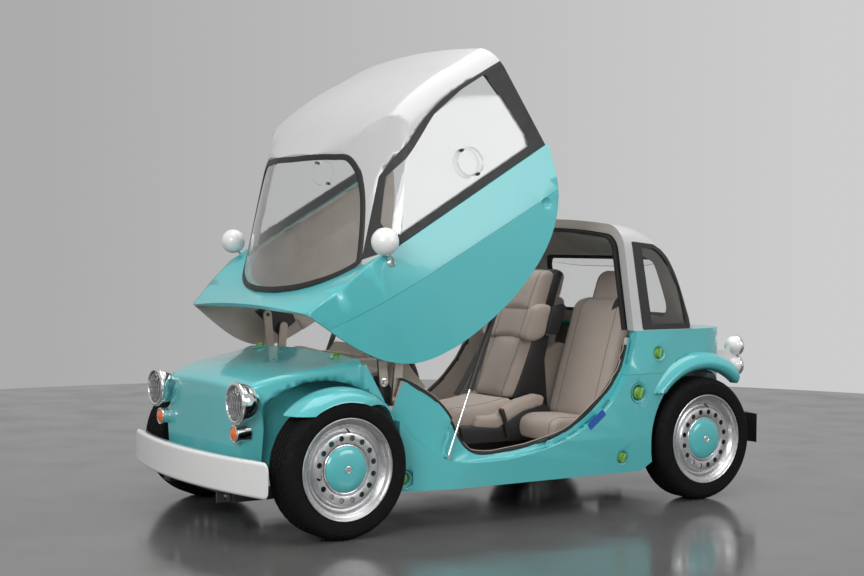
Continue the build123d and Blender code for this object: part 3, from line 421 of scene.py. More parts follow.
def lathe(profile, centre, axis, segments=72, loop=True, ripple=None):
    """Turn (along, radius) points, in millimetres, about an axis through centre."""
    axis = Vector(axis).normalized()
    across = axis.orthogonal().normalized()
    other = axis.cross(across)
    verts = []
    for i in range(segments):
        angle = math.tau * i / segments
        way = across * math.cos(angle) + other * math.sin(angle)
        for j, (along, radius) in enumerate(profile):
            if ripple:
                radius = ripple(i, j, radius)
            verts.append(centre + (axis * along + way * radius) / 1000)
    return verts, rings(segments, len(profile), True, loop)


def rod(points, radius, sides=12, ends=True):
    """Tube through points, in metres, with radius in millimetres."""
    points = [Vector(p) for p in points]
    verts, hint = [], None
    for i, point in enumerate(points):
        ahead = heading(points, i)
        hint = ahead.orthogonal() if hint is None else hint - ahead * hint.dot(ahead)
        hint.normalize()
        other = ahead.cross(hint)
        for k in range(sides):
            angle = math.tau * k / sides
            verts.append(point + (hint * math.cos(angle) + other * math.sin(angle)) * radius / 1000)
    faces = rings(len(points), sides)
    if ends:
        faces.append(tuple(range(sides)))
        faces.append(tuple((len(points) - 1) * sides + k for k in range(sides)))
    return verts, faces


def strap(points, normals, width, thick):
    """Flat band through points with its own normals, sizes in millimetres."""
    verts = []
    for i, point in enumerate(points):
        ahead = heading(points, i)
        up = (normals[i] - ahead * normals[i].dot(ahead)).normalized()
        side = ahead.cross(up)
        for a, b in ((-1, -1), (1, -1), (1, 1), (-1, 1)):
            verts.append(point + side * a * width / 2000 + up * b * thick / 2000)
    ends = [(0, 1, 2, 3), tuple(4 * len(points) - 4 + k for k in range(4))]
    return verts, rings(len(points), 4) + ends


def smooth_line(points, steps=8):
    """Catmull-Rom curve through points."""
    points = [Vector(p) for p in points]
    line = []
    for i in range(len(points) - 1):
        a = points[max(i - 1, 0)]
        b, c = points[i], points[i + 1]
        d = points[min(i + 2, len(points) - 1)]
        for k in range(steps):
            t = k / steps
            line.append(0.5 * ((2 * b) + (c - a) * t + (2 * a - 5 * b + 4 * c - d) * t * t
                               + (3 * b - a - 3 * c + d) * t * t * t))
    line.append(points[-1])
    return line


def mesh_from(shape, name):
    """Mesh of a bmesh, which is freed."""
    mesh = bpy.data.meshes.new(name)
    shape.to_mesh(mesh)
    shape.free()
    return mesh


def unpacked(shape):
    """Points and faces of a bmesh, which is freed."""
    shape.verts.index_update()
    verts = [v.co.copy() for v in shape.verts]
    faces = [tuple(v.index for v in f.verts) for f in shape.faces]
    shape.free()
    return verts, faces


def block(centre, size, turn, bevel):
    """Bevelled block, sizes in millimetres; turn is a rotation matrix."""
    shape = bmesh.new()
    bmesh.ops.create_cube(shape, size=1.0)
    for vert in shape.verts:
        vert.co = Vector([c * s / 1000 for c, s in zip(vert.co, size)])
    bmesh.ops.bevel(shape, geom=shape.edges[:], offset=bevel / 1000, segments=3, profile=0.5, affect="EDGES")
    shape.transform(turn.to_4x4())
    shape.transform(Matrix.Translation(centre))
    return unpacked(shape)


def applied(piece):
    """Mesh of a piece with its modifiers applied."""
    return bpy.data.meshes.new_from_object(piece.evaluated_get(bpy.context.evaluated_depsgraph_get()))


# ---- wheels

WHEELS = [(f"{row}_{name}", y, side) for row, y in (("front", 0), ("rear", WHEELBASE)) for side, name in BOTH]
TREAD_GROOVES = (-34, -11, 12, 35)
TREAD_RADIUS = 265.6
GROOVE_RADIUS = 259.5
HALF_TYRE = 71
RIM_HOLES = 16
RIM_HOLE_RING = 118
RIM_HOLE_RADIUS = 11.0


def tyre_profile():
    """Section of the tyre: along the axle from the rim's face, and radius."""
    side = [(-12, 187), (-3, 191), (2, 199), (4, 203), (5.2, 203.4), (5.6, 206), (6.5, 214), (7.4, 222),
            (7.4, 231), (6.8, 237), (7.6, 238), (7.2, 241), (4.4, 247), (0.5, 252), (-4, 256.5), (-9, 260),
            (-13, 262)]
    shoulder = [(-17, 264.2), (-22, 264.9)]
    tread = []
    for middle in sorted(TREAD_GROOVES, reverse=True):
        tread += [(-HALF_TYRE + middle + 4.2, TREAD_RADIUS), (-HALF_TYRE + middle + 3.0, GROOVE_RADIUS),
                  (-HALF_TYRE + middle - 3.0, GROOVE_RADIUS), (-HALF_TYRE + middle - 4.2, TREAD_RADIUS)]
    far = [(-2 * HALF_TYRE - a, r) for a, r in reversed(side + shoulder)]
    return side + shoulder + tread + far


def make_tyre(name, y, side):
    """Tyre with grooves, sipes and shoulder blocks."""
    profile = tyre_profile()
    edge = len(profile) // 2

    def ripple(i, j, radius):
        """Shoulder blocks and sipes between the round grooves."""
        far = abs(j + 0.5 - edge)
        if radius > 261 and 8.5 < far < 13 and i % 6 == 0:
            return radius - 4.5
        if radius > 265 and far < 8.5 and (i + (j // 4) * 2) % 5 == 0:
            return radius - 2.6
        return radius

    tyre = lathe(profile, at(side * RIM_FACE_X, y, AXLE_Z), (side, 0, 0), 300, True, ripple)
    add("tyre_with_tread_" + name, *tyre, "wheel_" + name, "tyre", 40, ("tyre_" + name,))


def rim_profile():
    """Section of the pressed steel rim: along the axle from its face, and radius."""
    return [(-22, 60), (-22, 93), (-17, 96), (-10.5, 100), (-9, 105), (-8.4, 118), (-9, 131), (-10.5, 135.5),
            (-17, 140), (-24, 144), (-26.5, 149), (-25, 156), (-18, 162), (-9, 166.5), (-5, 171), (-3.5, 178),
            (0, 183), (4, 186.5), (5.2, 190), (3.6, 193), (0, 193), (-4, 190), (-30, 185), (-90, 176),
            (-128, 184), (-140, 191), (-145, 191), (-142, 183), (-90, 168), (-34, 166), (-32, 150),
            (-30, 139), (-15, 129), (-15, 106), (-26, 98), (-28, 60)]


def make_rim(name, y, side):
    """Steel rim with a ring of round holes cut through its disc."""
    middle = at(side * RIM_FACE_X, y, AXLE_Z)
    ring, cutters = RIM_HOLE_RING / 1000, []
    for k in range(RIM_HOLES):
        angle = math.tau * (k + 0.5) / RIM_HOLES
        spot = middle + Vector((0, ring * math.cos(angle), ring * math.sin(angle)))
        through = Vector((side * 0.05, 0, 0))
        cutters.append(rod([spot - through, spot + through], RIM_HOLE_RADIUS, 24))
    solids = []
    for label, (verts, faces) in (("rim_blank", lathe(rim_profile(), middle, (side, 0, 0), 144)),
                                  ("rim_holes", merged(cutters))):
        mesh = mesh_of(label, verts, faces)
        shape = bmesh.new()
        shape.from_mesh(mesh)
        bmesh.ops.recalc_face_normals(shape, faces=shape.faces)
        shape.to_mesh(mesh)
        shape.free()
        solids.append(linked(label, mesh))
    change = solids[0].modifiers.new("holes", "BOOLEAN")
    change.object = solids[1]
    change.solver = "EXACT"
    result = applied(solids[0])
    for old in solids:
        bpy.data.objects.remove(old)
    result.materials.clear()
    keep("steel_rim_" + name, result, "wheel_" + name, "rim_silver", 32, ("rim_" + name,))


def make_cap(name, y, side):
    """Painted hub cap with a plated ring and a plain boss, and the tyre's valve."""
    middle = at(side * RIM_FACE_X, y, AXLE_Z)
    body = "wheel_" + name
    cover = [(-22, 0.3), (-22, 84), (-15, 87), (-10, 86.6), (-5, 82), (-0.5, 72), (2.6, 58), (4.6, 42),
             (5.4, 28), (5.6, 18), (3.6, 16.5), (3.4, 0.3)]
    shell = lathe(cover, middle, (side, 0, 0), 96)
    add("cap_dome_" + name, *shell, body, "body_paint", 30, ("hub_cap_" + name,))
    ring = [(-17 + 5.5 * math.cos(t * math.tau / 14), 90 + 5 * math.sin(t * math.tau / 14)) for t in range(14)]
    boss = [(3.5, 0.3), (3.5, 14.4), (5.2, 14.6), (6.0, 13.4), (6.0, 11), (4.9, 10.2), (4.9, 0.3)]
    parts = [lathe(ring, middle, (side, 0, 0), 96), lathe(boss, middle, (side, 0, 0), 48)]
    add("cap_rings_" + name, *merged(parts), body, "chrome", 40)
    stem = middle + Vector((-side * 0.012, 0.0, 0.152))
    tip = stem + Vector((side * 0.022, 0, -0.012))
    add("valve_" + name, *rod([stem, tip], 3.4, 10), body, "seal_rubber", 40)


def wheels():
    """The four road wheels."""
    for name, y, side in WHEELS:
        make_tyre(name, y, side)
        make_rim(name, y, side)
        make_cap(name, y, side)


# ---- lamps

def dome(radius, height, rings=8, base=0.0):
    """Profile of a shallow dome, from its rim to its middle."""
    curve = (radius * radius + height * height) / (2 * height)
    points = []
    for i in range(rings + 1):
        r = radius * (1 - i / rings)
        points.append((base + math.sqrt(curve * curve - r * r) - (curve - height), max(r, 0.3)))
    return points


HEADLAMP = (375, -324, 505)
SIGNAL = (346, -318, 387)
TAIL_X = 450
TAIL_HEIGHTS = (651, 561)
AHEAD = (0, -1, 0)
ASTERN = (0, 1, 0)


def mirrored(side, spot):
    """A place on the left side, or its mirror image."""
    return at(side * spot[0], spot[1], spot[2])


def headlamps():
    """Headlamps: rim, fluted lens, bowl and bulb."""
    for side, name in BOTH:
        face = mirrored(side, HEADLAMP)
        ring = [(-6, 66), (-6, 78), (0, 80.5), (5, 80), (9, 76.5), (11, 71), (10, 67), (6, 65)]
        add("lamp_rim_" + name, *lathe(ring, face, AHEAD, 96), "body", "chrome", 50,
            ("headlamp_rings",) if side > 0 else ())
        outer = dome(66, 21, 12, 5)
        inner = [(a - 4, r - 0.2 if r > 1 else r) for a, r in reversed(outer)]
        add("lamp_lens_" + name, *lathe(outer + inner, face, AHEAD, 96), "body", FLUTED, 50,
            ("headlamp_lenses",) if side > 0 else ())
        bowl = [(2, 64)] + [(-30 * (1 - (r / 64) ** 2), r) for r in (58, 48, 38, 28, 18, 10)]
        back = [(a - 3, r) for a, r in reversed(bowl)]
        add("lamp_bowl_" + name, *lathe(bowl + back, face, AHEAD, 64), "body", "chrome", 50)
        bulb = face + Vector((0, 0.012, 0))
        glass = lathe([(-14, 0.3), (-14, 9), (0, 10), (8, 7), (11, 0.3)], bulb, AHEAD, 32)
        add("lamp_bulb_" + name, *glass, "body", "white_paint", 50)


def turn_signals():
    """Round amber lamps under the headlamps."""
    for side, name in BOTH:
        face = mirrored(side, SIGNAL)
        ring = [(-8, 27), (-8, 34), (-2, 35), (3, 33.5), (4.5, 30), (3, 27.2)]
        add("signal_rim_" + name, *lathe(ring, face, AHEAD, 64), "body", "chrome", 50)
        cap = [(-6, 0.3), (-6, 27)] + dome(27, 13, 8, 1)
        add("signal_lens_" + name, *lathe(cap, face, AHEAD, 64), "body", AMBER, 50,
            ("turn_signals",) if side > 0 else ())


def tail_lamps():
    """Plated bands and red lenses on the tail balls."""
    for side, name in BOTH:
        ring, lens = [(-9, 43.2), (-7, 45.6), (7, 45.6), (9, 43.2)], [(27, 34)] + dome(34, 14, 8, 27)
        bands = [lathe(ring, at(side * TAIL_X, 2172, z), ASTERN) for z in TAIL_HEIGHTS]
        add("tail_lamp_bands_" + name, *merged(bands), "body", "chrome", 40)
        lenses = [lathe(lens, at(side * TAIL_X, 2160, z), ASTERN, 64, False) for z in TAIL_HEIGHTS]
        add("tail_lamp_lenses_" + name, *merged(lenses), "body", TAIL_RED, 50)


# ---- knobs and small fittings

def knob(spot, out, size=1.0, turn=0.6):
    """Finger knob: a round foot, a waist and a rounded bar to turn it by."""
    out = Vector(out).normalized()
    foot = [(0, 0.3), (0, 17 * size), (3 * size, 18 * size), (6 * size, 16.5 * size), (8 * size, 12 * size),
            (13 * size, 10.5 * size), (14 * size, 0.3)]
    across = out.orthogonal().normalized()
    across.rotate(Matrix.Rotation(turn, 3, out))
    other = out.cross(across)
    axes = Matrix((across, other, out)).transposed()
    bar = block(spot + out * 0.016 * size, (32 * size, 9 * size, 13 * size), axes, 3.6 * size)
    return merged([lathe(foot, spot, out, 48), bar])


def washer(spot, out, radius, high, hexagon):
    """Washer with a bolt head on it."""
    disc = [(0, 0.3), (0, radius), (high * 0.8, radius), (high, radius * 0.9), (high, 0.3)]
    head = [(high, 0.3), (high, hexagon), (high + hexagon * 0.55, hexagon),
            (high + hexagon * 0.7, hexagon * 0.8), (high + hexagon * 0.7, 0.3)]
    return merged([lathe(disc, spot, out, 40), lathe(head, spot, out, 6)])


SKINS = {}


def struck(labels, start, way):
    """First point where a ray meets the named CAD pieces, or the start itself where it misses."""
    spots = []
    for label in labels:
        if label not in SKINS:
            mesh, pose = NODES[label].data, NODES[label].matrix_world
            SKINS[label] = BVHTree.FromPolygons([pose @ v.co for v in mesh.vertices],
                                                [list(p.vertices) for p in mesh.polygons])
        spot = SKINS[label].ray_cast(start, way)[0]
        if spot:
            spots.append(spot)
    return min(spots, key=lambda spot: (spot - start).length, default=start)


def on_side(y, z):
    """Point just proud of the left side's skin."""
    face = struck(("inner_tub", "sill_panels", "rear_body"), at(900, y, z), Vector((-1, 0, 0)))
    return face + Vector((0.0006, 0, 0))


def on_top(x, y):
    """Point on the bonnet or the rear deck."""
    return struck(("nose_body", "rear_body"), at(x, y, 1500), Vector((0, 0, -1)))


def dish(spot, out, radius, deep):
    """Moulded round recess: a soft rim, sloping wall and floor."""
    profile = [(1.4, radius + 7), (1.2, radius + 3), (-0.6, radius), (-deep * 0.55, radius - 4),
               (-deep, radius - 7), (-deep, 0.3), (-deep - 1.5, 0.3), (-deep - 1.5, radius - 5),
               (-2.5, radius + 2), (-0.4, radius + 7)]
    return lathe(profile, spot, out, 64)


# Finger knobs: place of the recess's rim, the way it faces, the knob's size and the recess's radius.
SIDE_KNOBS = {
    "front_sill": ((566, 295, 198), (1, -0.30, 0), 1.15, 27),
    "rear_pillar": ((640, 1424, 483), (1, 0, 0), 1.5, 36),
    "rear_sill": ((632, 1343, 214), (1, 0, -0.13), 1.25, 28),
    "quarter": ((631, 1540, 648), (1, 0, 0.1), 1.25, 28),
}
RECESS_DEPTH = 14


def knobs():
    """Lime finger knobs in their round recesses."""
    for label, (spot, out, size, radius) in SIDE_KNOBS.items():
        for side, name in BOTH:
            way = Vector((side * out[0], out[1], out[2])).normalized()
            face = mirrored(side, spot)
            add(f"knob_{label}_{name}", *knob(face - way * 0.013, way, size, 0.5), "body", LIME, 35)
            add(f"knob_dish_{label}_{name}", *dish(face, way, radius, RECESS_DEPTH), "body", "body_paint", 40)
    for side, name in BOTH:
        bonnet, lean = on_top(side * 330, 130), (side * 0.15, -0.1, 1)
        add("knob_bonnet_" + name, *knob(bonnet - Vector((0, 0, 0.004)), lean, 1.0, 0.9), "body", LIME, 35)
        add("knob_dish_bonnet_" + name, *dish(bonnet, lean, 25, 5), "body", "body_paint", 40)
        deck = on_top(side * 430, 1800) - Vector((0, 0, 0.012))
        add("knob_deck_" + name, *knob(deck, (0, 0, 1), 1.1, 0.4), "body", LIME, 35)


def markers():
    """Amber side markers behind the front wheels and a plain blue film on the sill's ledge."""
    for side, name in BOTH:
        out, spot = Vector((side, -0.32, 0)).normalized(), at(side * 548, 292, 323)
        base = lathe([(-6, 0.3), (-6, 15), (3, 15), (5, 13), (5, 0.3)], spot, out, 40)
        lens = lathe([(4, 12)] + dome(12, 9, 6, 5), spot, out, 40, False)
        add("marker_base_" + name, *base, "body", "seal_rubber", 40)
        add("marker_lens_" + name, *lens, "body", AMBER, 50)
    columns, rows, thick = 10, 5, 0.0012
    face = []
    for i in range(columns + 1):
        line = [on_side(1145 + 81 * i / columns + 18 * j / rows, 366 + 60 * i / columns - 25 * j / rows)
                for j in range(rows + 1)]
        proud = max(p.x for p in line)
        face += [Vector((proud, p.y, p.z)) for p in line]
    back = [p - Vector((thick, 0, 0)) for p in face]
    corners = [(rows + 1) * i + j for i in range(columns) for j in range(rows)]
    quads = [(k, k + 1, k + rows + 2, k + rows + 1) for k in corners]
    under = [tuple(len(face) + k for k in reversed(quad)) for quad in quads]
    add("blue_film", face + back, quads + under, "body", BLUE, 40)


def ring_handles():
    """Thin clear rings on the side glass, each held by two dark bolts."""
    bar, radius = 3.2, 57
    turns = [k * math.tau / 10 for k in range(10)]
    section = [(bar * math.cos(turn), radius + bar * math.sin(turn)) for turn in turns]
    for side, name in BOTH:
        lean = Vector((side, 0, 0.16)).normalized()
        ring = lathe(section, at(side * 598, 1040, 850), lean, 96)
        gone = ("ring_handles",) if side > 0 else ()
        add("ring_handle_" + name, *ring, "canopy", "lamp_glass", 50, gone, OPENED)
        studs = [lathe([(-14, 0.3), (-14, 6.5), (5, 6.5), (7, 4), (7, 0.3)], at(side * x, y, z), lean, 24)
                 for x, y, z in ((590, 1032, 906), (606, 1049, 794))]
        add("ring_bolts_" + name, *merged(studs), "canopy", "dark_plastic", 40, (), OPENED)


# Lacquered panels that get one soft surface, each with its sharp angle in degrees.
SOFT_PANELS = {"canopy_lower": 32, "canopy_roof": 40, "rear_roof": 34, "rear_body": 30, "nose_body": 30,
               "sill_panels": 30, "fender_left": 40, "fender_right": 40, "rear_fenders": 40, "front_bumper": 50,
               "inner_tub": 28}


def smooth_copies():
    """Own copies of the lacquered panels, with one soft surface over the CAD's facets."""
    slots = {part["node"]: part["material_slot"] for part in RECORD["subparts"]}
    for label, angle in SOFT_PANELS.items():
        source = NODES[label]
        shape = bmesh.new()
        shape.from_mesh(source.data)
        bmesh.ops.remove_doubles(shape, verts=shape.verts, dist=0.00005)
        bmesh.ops.dissolve_degenerate(shape, edges=shape.edges, dist=0.00002)
        mesh = mesh_from(shape, label + "_skin")
        piece = linked(label + "_skin", mesh)
        mesh.materials.append(MATERIALS[NODE_FINISH.get(label, slots[label])])
        mesh.shade_smooth()
        mesh.set_sharp_from_angle(angle=math.radians(angle))
        even = piece.modifiers.new("even", "WEIGHTED_NORMAL")
        even.keep_sharp = True
        even.weight = 60
        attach(piece, body_of(source)[0])
        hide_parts(label)


def bolts():
    """Bolt heads and washers on the canopy's arms."""
    for side, name in BOTH:
        front = washer(at(side * 480.2, 258.6, 567.5), (side, 0, 0), 15, 3, 9)
        rear = washer(at(side * 498.2, 304.5, 496.2), (side, 0, 0), 17, 3, 10)
        add("arm_bolts_front_" + name, *front, "front_arm", "chrome", 35)
        add("arm_bolts_rear_" + name, *rear, "rear_arm", "chrome", 35)


def mirror_stalks():
    """Plated mirror stalks with their feet, and the joint line round each ball."""
    for side, name in BOTH:
        lean = Vector((side, 0, 0.16)).normalized()
        foot = [(-8, 0.3), (-8, 19), (3, 19), (7, 16), (9, 9), (9, 0.3)]
        foot = lathe(foot, at(side * 611, 531, 672), lean, 40)
        line = smooth_line([at(side * 606, 532, 656), at(side * 628, 530, 684), at(side * 638, 526, 712),
                            at(side * 640, 525, 738)])
        add("mirror_stalk_" + name, *merged([foot, rod(line, 8.4, 20)]), "canopy", "chrome", 40, (), OPENED)
        seam = lathe([(-3, 52.8), (-3, 53.8), (3, 53.8), (3, 52.8)], at(side * 648, 523, 766), ASTERN)
        add("mirror_band_" + name, *seam, "canopy", "white_paint", 40, (), OPENED)


# The windscreen is a stretch of a cylinder that leans back: its radius, the foot of its middle and its lean.
SCREEN_RADIUS = 777.5
SCREEN_FOOT_Y = 270.0
SCREEN_FOOT_Z = 664.0
SCREEN_MIDDLE_Z = 870.0
SCREEN_LEAN = 380 / 439
SCREEN_EDGE = [(0, 667), (120, 667), (250, 668), (380, 675), (450, 686), (484, 700), (486, 731), (478, 790),
               (467, 851), (453, 905), (436, 950), (404, 1006), (346, 1057), (270, 1074), (200, 1084),
               (100, 1091), (0, 1092)]
BORDER_SECTION = [(-1.5, -3.5), (-1.5, 1.0), (1.5, 1.6), (14, 1.6), (16, 0.6), (16, -3.5)]


def screen_point(x, z, out=0.0):
    """Point on the windscreen's curved face, pushed outward a little."""
    facing = math.sqrt(1 - (x / SCREEN_RADIUS) ** 2)
    y = SCREEN_FOOT_Y + SCREEN_RADIUS * (1 - facing) + (z - SCREEN_FOOT_Z) * SCREEN_LEAN
    normal = Vector((x / SCREEN_RADIUS, -facing, SCREEN_LEAN * facing))
    return at(x, y, z) + normal.normalized() * out / 1000


def screen_border():
    """Black band round the windscreen, just proud of the pane."""
    ring = [Vector((x, z, 0)) for x, z in SCREEN_EDGE] + [Vector((-x, z, 0)) for x, z in SCREEN_EDGE[-2:0:-1]]
    line = smooth_line(ring + ring[:1], 5)[:-1]
    middle = Vector((0, SCREEN_MIDDLE_Z, 0))
    verts, count = [], len(line)
    for i, spot in enumerate(line):
        along = (line[(i + 1) % count] - line[i - 1]).normalized()
        inward = Vector((-along.y, along.x, 0))
        if inward.dot(middle - spot) < 0:
            inward = -inward
        for deep, out in BORDER_SECTION:
            p = spot + inward * deep
            verts.append(screen_point(p.x, p.y, out))
    add("windscreen_border", verts, rings(count, len(BORDER_SECTION), True), "canopy", "seal_rubber", 40, (),
        OPENED)


# Side view of the door seal, from the pillar foot round the opening to the belt.
SEAL_LINE = [(340, 566), (376, 538), (440, 491), (505, 409), (551, 327), (605, 280), (730, 268), (879, 283),
             (1012, 319), (1137, 377), (1243, 455), (1328, 544), (1377, 626), (1395, 684)]


def seal_edges():
    """Black lip on the door seal and a thin pale edge inside it, both let in behind the seal's face."""
    for side, name in BOTH:
        line = smooth_line([Vector((0, y, z)) for y, z in SEAL_LINE], 6)
        edge, lip = [], []
        for i, spot in enumerate(line):
            face = struck(("door_seals",), at(side * 900, spot.y, spot.z), Vector((-side, 0, 0)))
            if abs(face.x) > 0.8:
                continue
            along = heading(line, i)
            inner = at(0, spot.y - 12.5 * along.z, spot.z + 12.5 * along.y)
            edge.append(Vector((face.x - side * 0.006, inner.y, inner.z)))
            lip.append(face - Vector((side * 0.0075, 0, 0)))
        add("door_seal_edge_" + name, *rod(edge, 2.0, 8), "body", "interior_trim", 60)
        add("door_seal_lip_" + name, *rod(lip, 8.0, 12), "body", "seal_rubber", 60)


# ---- upholstery

PADS = []


def prism(outline, middle, width):
    """Closed block with a side-view outline, in millimetres."""
    count = len(outline)
    verts = [at(middle + s * width / 2, y, z) for s in (-1, 1) for y, z in outline]
    faces = [tuple(range(count)), tuple(range(count, 2 * count))]
    faces += [(k, (k + 1) % count, count + (k + 1) % count, count + k) for k in range(count)]
    return verts, faces


def rounded(verts, faces, bevel):
    """Bevelled bmesh of a closed block."""
    shape = bmesh.new()
    made = [shape.verts.new(v) for v in verts]
    for face in faces:
        shape.faces.new([made[i] for i in face])
    bmesh.ops.recalc_face_normals(shape, faces=shape.faces)
    bmesh.ops.bevel(shape, geom=shape.edges[:], offset=bevel / 1000, segments=3, profile=0.5, affect="EDGES",
                    clamp_overlap=True)
    return shape


def pad(name, outline, middle, width, bevel=16, gone=(), bend=0.0, seams=(0.82,), voxel=0.011, puff=0.014):
    """Cushion to be filled: its rounded block, remeshed evenly. Seams lie at shares of its half width."""
    blank = linked(name + "_blank", mesh_from(rounded(*prism(outline, middle, width), bevel), name))
    remesh = blank.modifiers.new("even", "REMESH")
    remesh.mode = "VOXEL"
    remesh.voxel_size = voxel
    soft = blank.modifiers.new("soften", "SMOOTH")
    soft.factor = 0.5
    soft.iterations = 2
    fine = applied(blank)
    bpy.data.objects.remove(blank)
    fine.materials.clear()
    PADS.append((linked(name, fine), middle, width, bend, seams, gone, puff))


CLOTH_STEPS = 14
SEAM_REACH = 0.045
PUFF_SHARE = 0.8


def add_filling(piece, middle, width, seams):
    """Cloth with pressure inside, held along the seams."""
    held = piece.vertex_groups.new(name="held")
    for v in piece.data.vertices:
        off = abs(v.co.x * 1000 - middle) / (width / 2)
        if any(abs(off - line) < SEAM_REACH for line in seams):
            held.add([v.index], 0.85, "REPLACE")
    filling = piece.modifiers.new("fill", "CLOTH").settings
    filling.use_pressure = True
    filling.uniform_pressure_force = 4.0
    filling.effector_weights.gravity = 0.0
    filling.quality = 4
    filling.tension_stiffness = 25.0
    filling.bending_stiffness = 1.2
    filling.vertex_group_mass = "held"
    filling.pin_stiffness = 1.0


def take_filling(piece, rest, puff):
    """Keep the filled shape, with each point's travel capped."""
    evaluated = piece.evaluated_get(bpy.context.evaluated_depsgraph_get())
    moved = [v.co.copy() for v in evaluated.to_mesh().vertices]
    evaluated.to_mesh_clear()
    piece.modifiers.clear()
    for v, before, after in zip(piece.data.vertices, rest, moved):
        travel = after - before
        if travel.length > puff:
            travel *= puff / travel.length
        v.co = before + travel * PUFF_SHARE


def inflate():
    """Cloth pass on all cushions together, then their bend and finish."""
    scene = bpy.context.scene
    rest = {piece.name: [v.co.copy() for v in piece.data.vertices] for piece, *_ in PADS}
    for piece, middle, width, _, seams, _, _ in PADS:
        add_filling(piece, middle, width, seams)
    for step in range(1, CLOTH_STEPS + 1):
        scene.frame_set(step)
    for piece, middle, width, bend, seams, gone, puff in PADS:
        take_filling(piece, rest[piece.name], puff)
        for v in piece.data.vertices:
            off = (v.co.x * 1000 - middle) / (width / 2)
            v.co.y -= bend / 1000 * off * off
        finish_pad(piece, middle, width, seams, gone)
    scene.frame_set(1)


def finish_pad(piece, middle, width, seams, gone):
    """Smooth, dress and register a cushion, and sew its seams."""
    smooth = piece.modifiers.new("smooth", "SUBSURF")
    smooth.levels = smooth.render_levels = 1
    mesh = applied(piece)
    piece.modifiers.clear()
    old = piece.data
    piece.data = mesh
    bpy.data.meshes.remove(old)
    mesh.materials.clear()
    mesh.materials.append(MATERIALS["seat_fabric"])
    mesh.shade_smooth()
    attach(piece, "body")
    if gone:
        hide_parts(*gone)
    parts = []
    for line in seams:
        for side in SIDES:
            parts += seam_loops(mesh, (middle + side * line * width / 2) / 1000)
    if parts:
        add(piece.name + "_seams", *merged(parts), "body", THREAD, 60)


def seam_loops(mesh, x):
    """Sewn welt where a lengthwise plane meets the cushion."""
    shape = bmesh.new()
    shape.from_mesh(mesh)
    cut = bmesh.ops.bisect_plane(shape, geom=shape.verts[:] + shape.edges[:] + shape.faces[:], dist=0.00001,
                                 plane_co=(x, 0, 0), plane_no=(1, 0, 0))["geom_cut"]
    near = {}
    for edge in cut:
        if isinstance(edge, bmesh.types.BMEdge):
            for v in edge.verts:
                near.setdefault(v, []).append(edge.other_vert(v))
    parts, seen = [], set()
    for start in sorted(near, key=lambda v: v.index):
        line, following = [], [] if start in seen else [start]
        while following:
            line.append(following[0])
            seen.add(following[0])
            following = [v for v in near[line[-1]] if v not in seen]
        if len(line) > 12:
            points = [v.co.copy() for v in line[::2]]
            parts.append(rod(points + points[:1], 1.7, 6, False))
    shape.free()
    return parts


def seats():
    """Cushions of the booster in the middle and of the two rear seats."""
    pad("booster_cushion", [(772, 318), (757, 372), (800, 402), (960, 412), (1112, 438), (1140, 345),
                            (1000, 286)], 0, 330, 18, ("child_seat_pads",))
    for side, name in BOTH:
        pad("booster_arm_" + name, [(880, 318), (905, 368), (985, 372), (1110, 430), (1215, 452), (1268, 440),
                                    (1262, 396), (1150, 372), (1010, 305)],
            side * 172, 52, 12, seams=(), voxel=0.009, puff=0.008)
    pad("booster_back", [(1092, 436), (1206, 694), (1258, 712), (1300, 694), (1206, 452), (1170, 425)],
        0, 236, 18)
    pad("booster_wings", [(1206, 690), (1262, 832), (1310, 846), (1372, 836), (1330, 700), (1270, 678)],
        0, 344, 18, bend=46.0, seams=(0.55,))
    pad("booster_head", [(1246, 812), (1318, 984), (1362, 998), (1408, 978), (1352, 818), (1300, 800)],
        0, 226, 20, bend=18.0)
    for side, name in BOTH:
        pad("rear_cushion_" + name, [(1132, 268), (1127, 345), (1160, 370), (1340, 362), (1400, 352),
                                     (1420, 262)], side * 272, 316, 20, ("rear_seats",) if side > 0 else ())
        pad("rear_back_" + name, [(1352, 352), (1420, 590), (1498, 842), (1540, 868), (1600, 872), (1640, 850),
                                  (1560, 590), (1470, 440), (1440, 330)],
            side * 290, 372, 24, bend=14.0, seams=(0.66,))
        pad("rear_head_" + name, [(1532, 852), (1572, 968), (1604, 992), (1655, 990), (1686, 966),
                                  (1655, 852)], side * 292, 230, 24, bend=10.0)
    inflate()


def plate(outline, x0, x1, bevel):
    """Moulded plate between two places across the car."""
    return unpacked(rounded(*prism(outline, (x0 + x1) / 2, abs(x1 - x0)), bevel))


def seat_shells():
    """Dark moulded shells that hold the booster's pads."""
    parts = []
    for side in SIDES:
        for outline, near, far, bevel in (
                ([(1148, 440), (1232, 640), (1262, 712), (1345, 700), (1310, 560), (1235, 400), (1160, 372)],
                 112, 124, 5),
                ([(1290, 715), (1320, 830), (1385, 846), (1404, 828), (1352, 706)], 150, 172, 5),
                ([(1322, 822), (1372, 968), (1402, 990), (1424, 976), (1372, 820)], 96, 112, 5),
                ([(832, 252), (812, 330), (880, 330), (1010, 318), (1150, 380), (1262, 408), (1300, 380),
                  (1290, 252)], 100, 196, 8)):
            parts.append(plate(outline, side * near, side * far, bevel))
    back = [(1290, 690), (1362, 880), (1412, 990), (1432, 980), (1380, 850), (1330, 690)]
    parts.append(plate(back, -110, 110, 6))
    add("booster_shell_sides", *merged(parts), "body", "dark_plastic", 40)


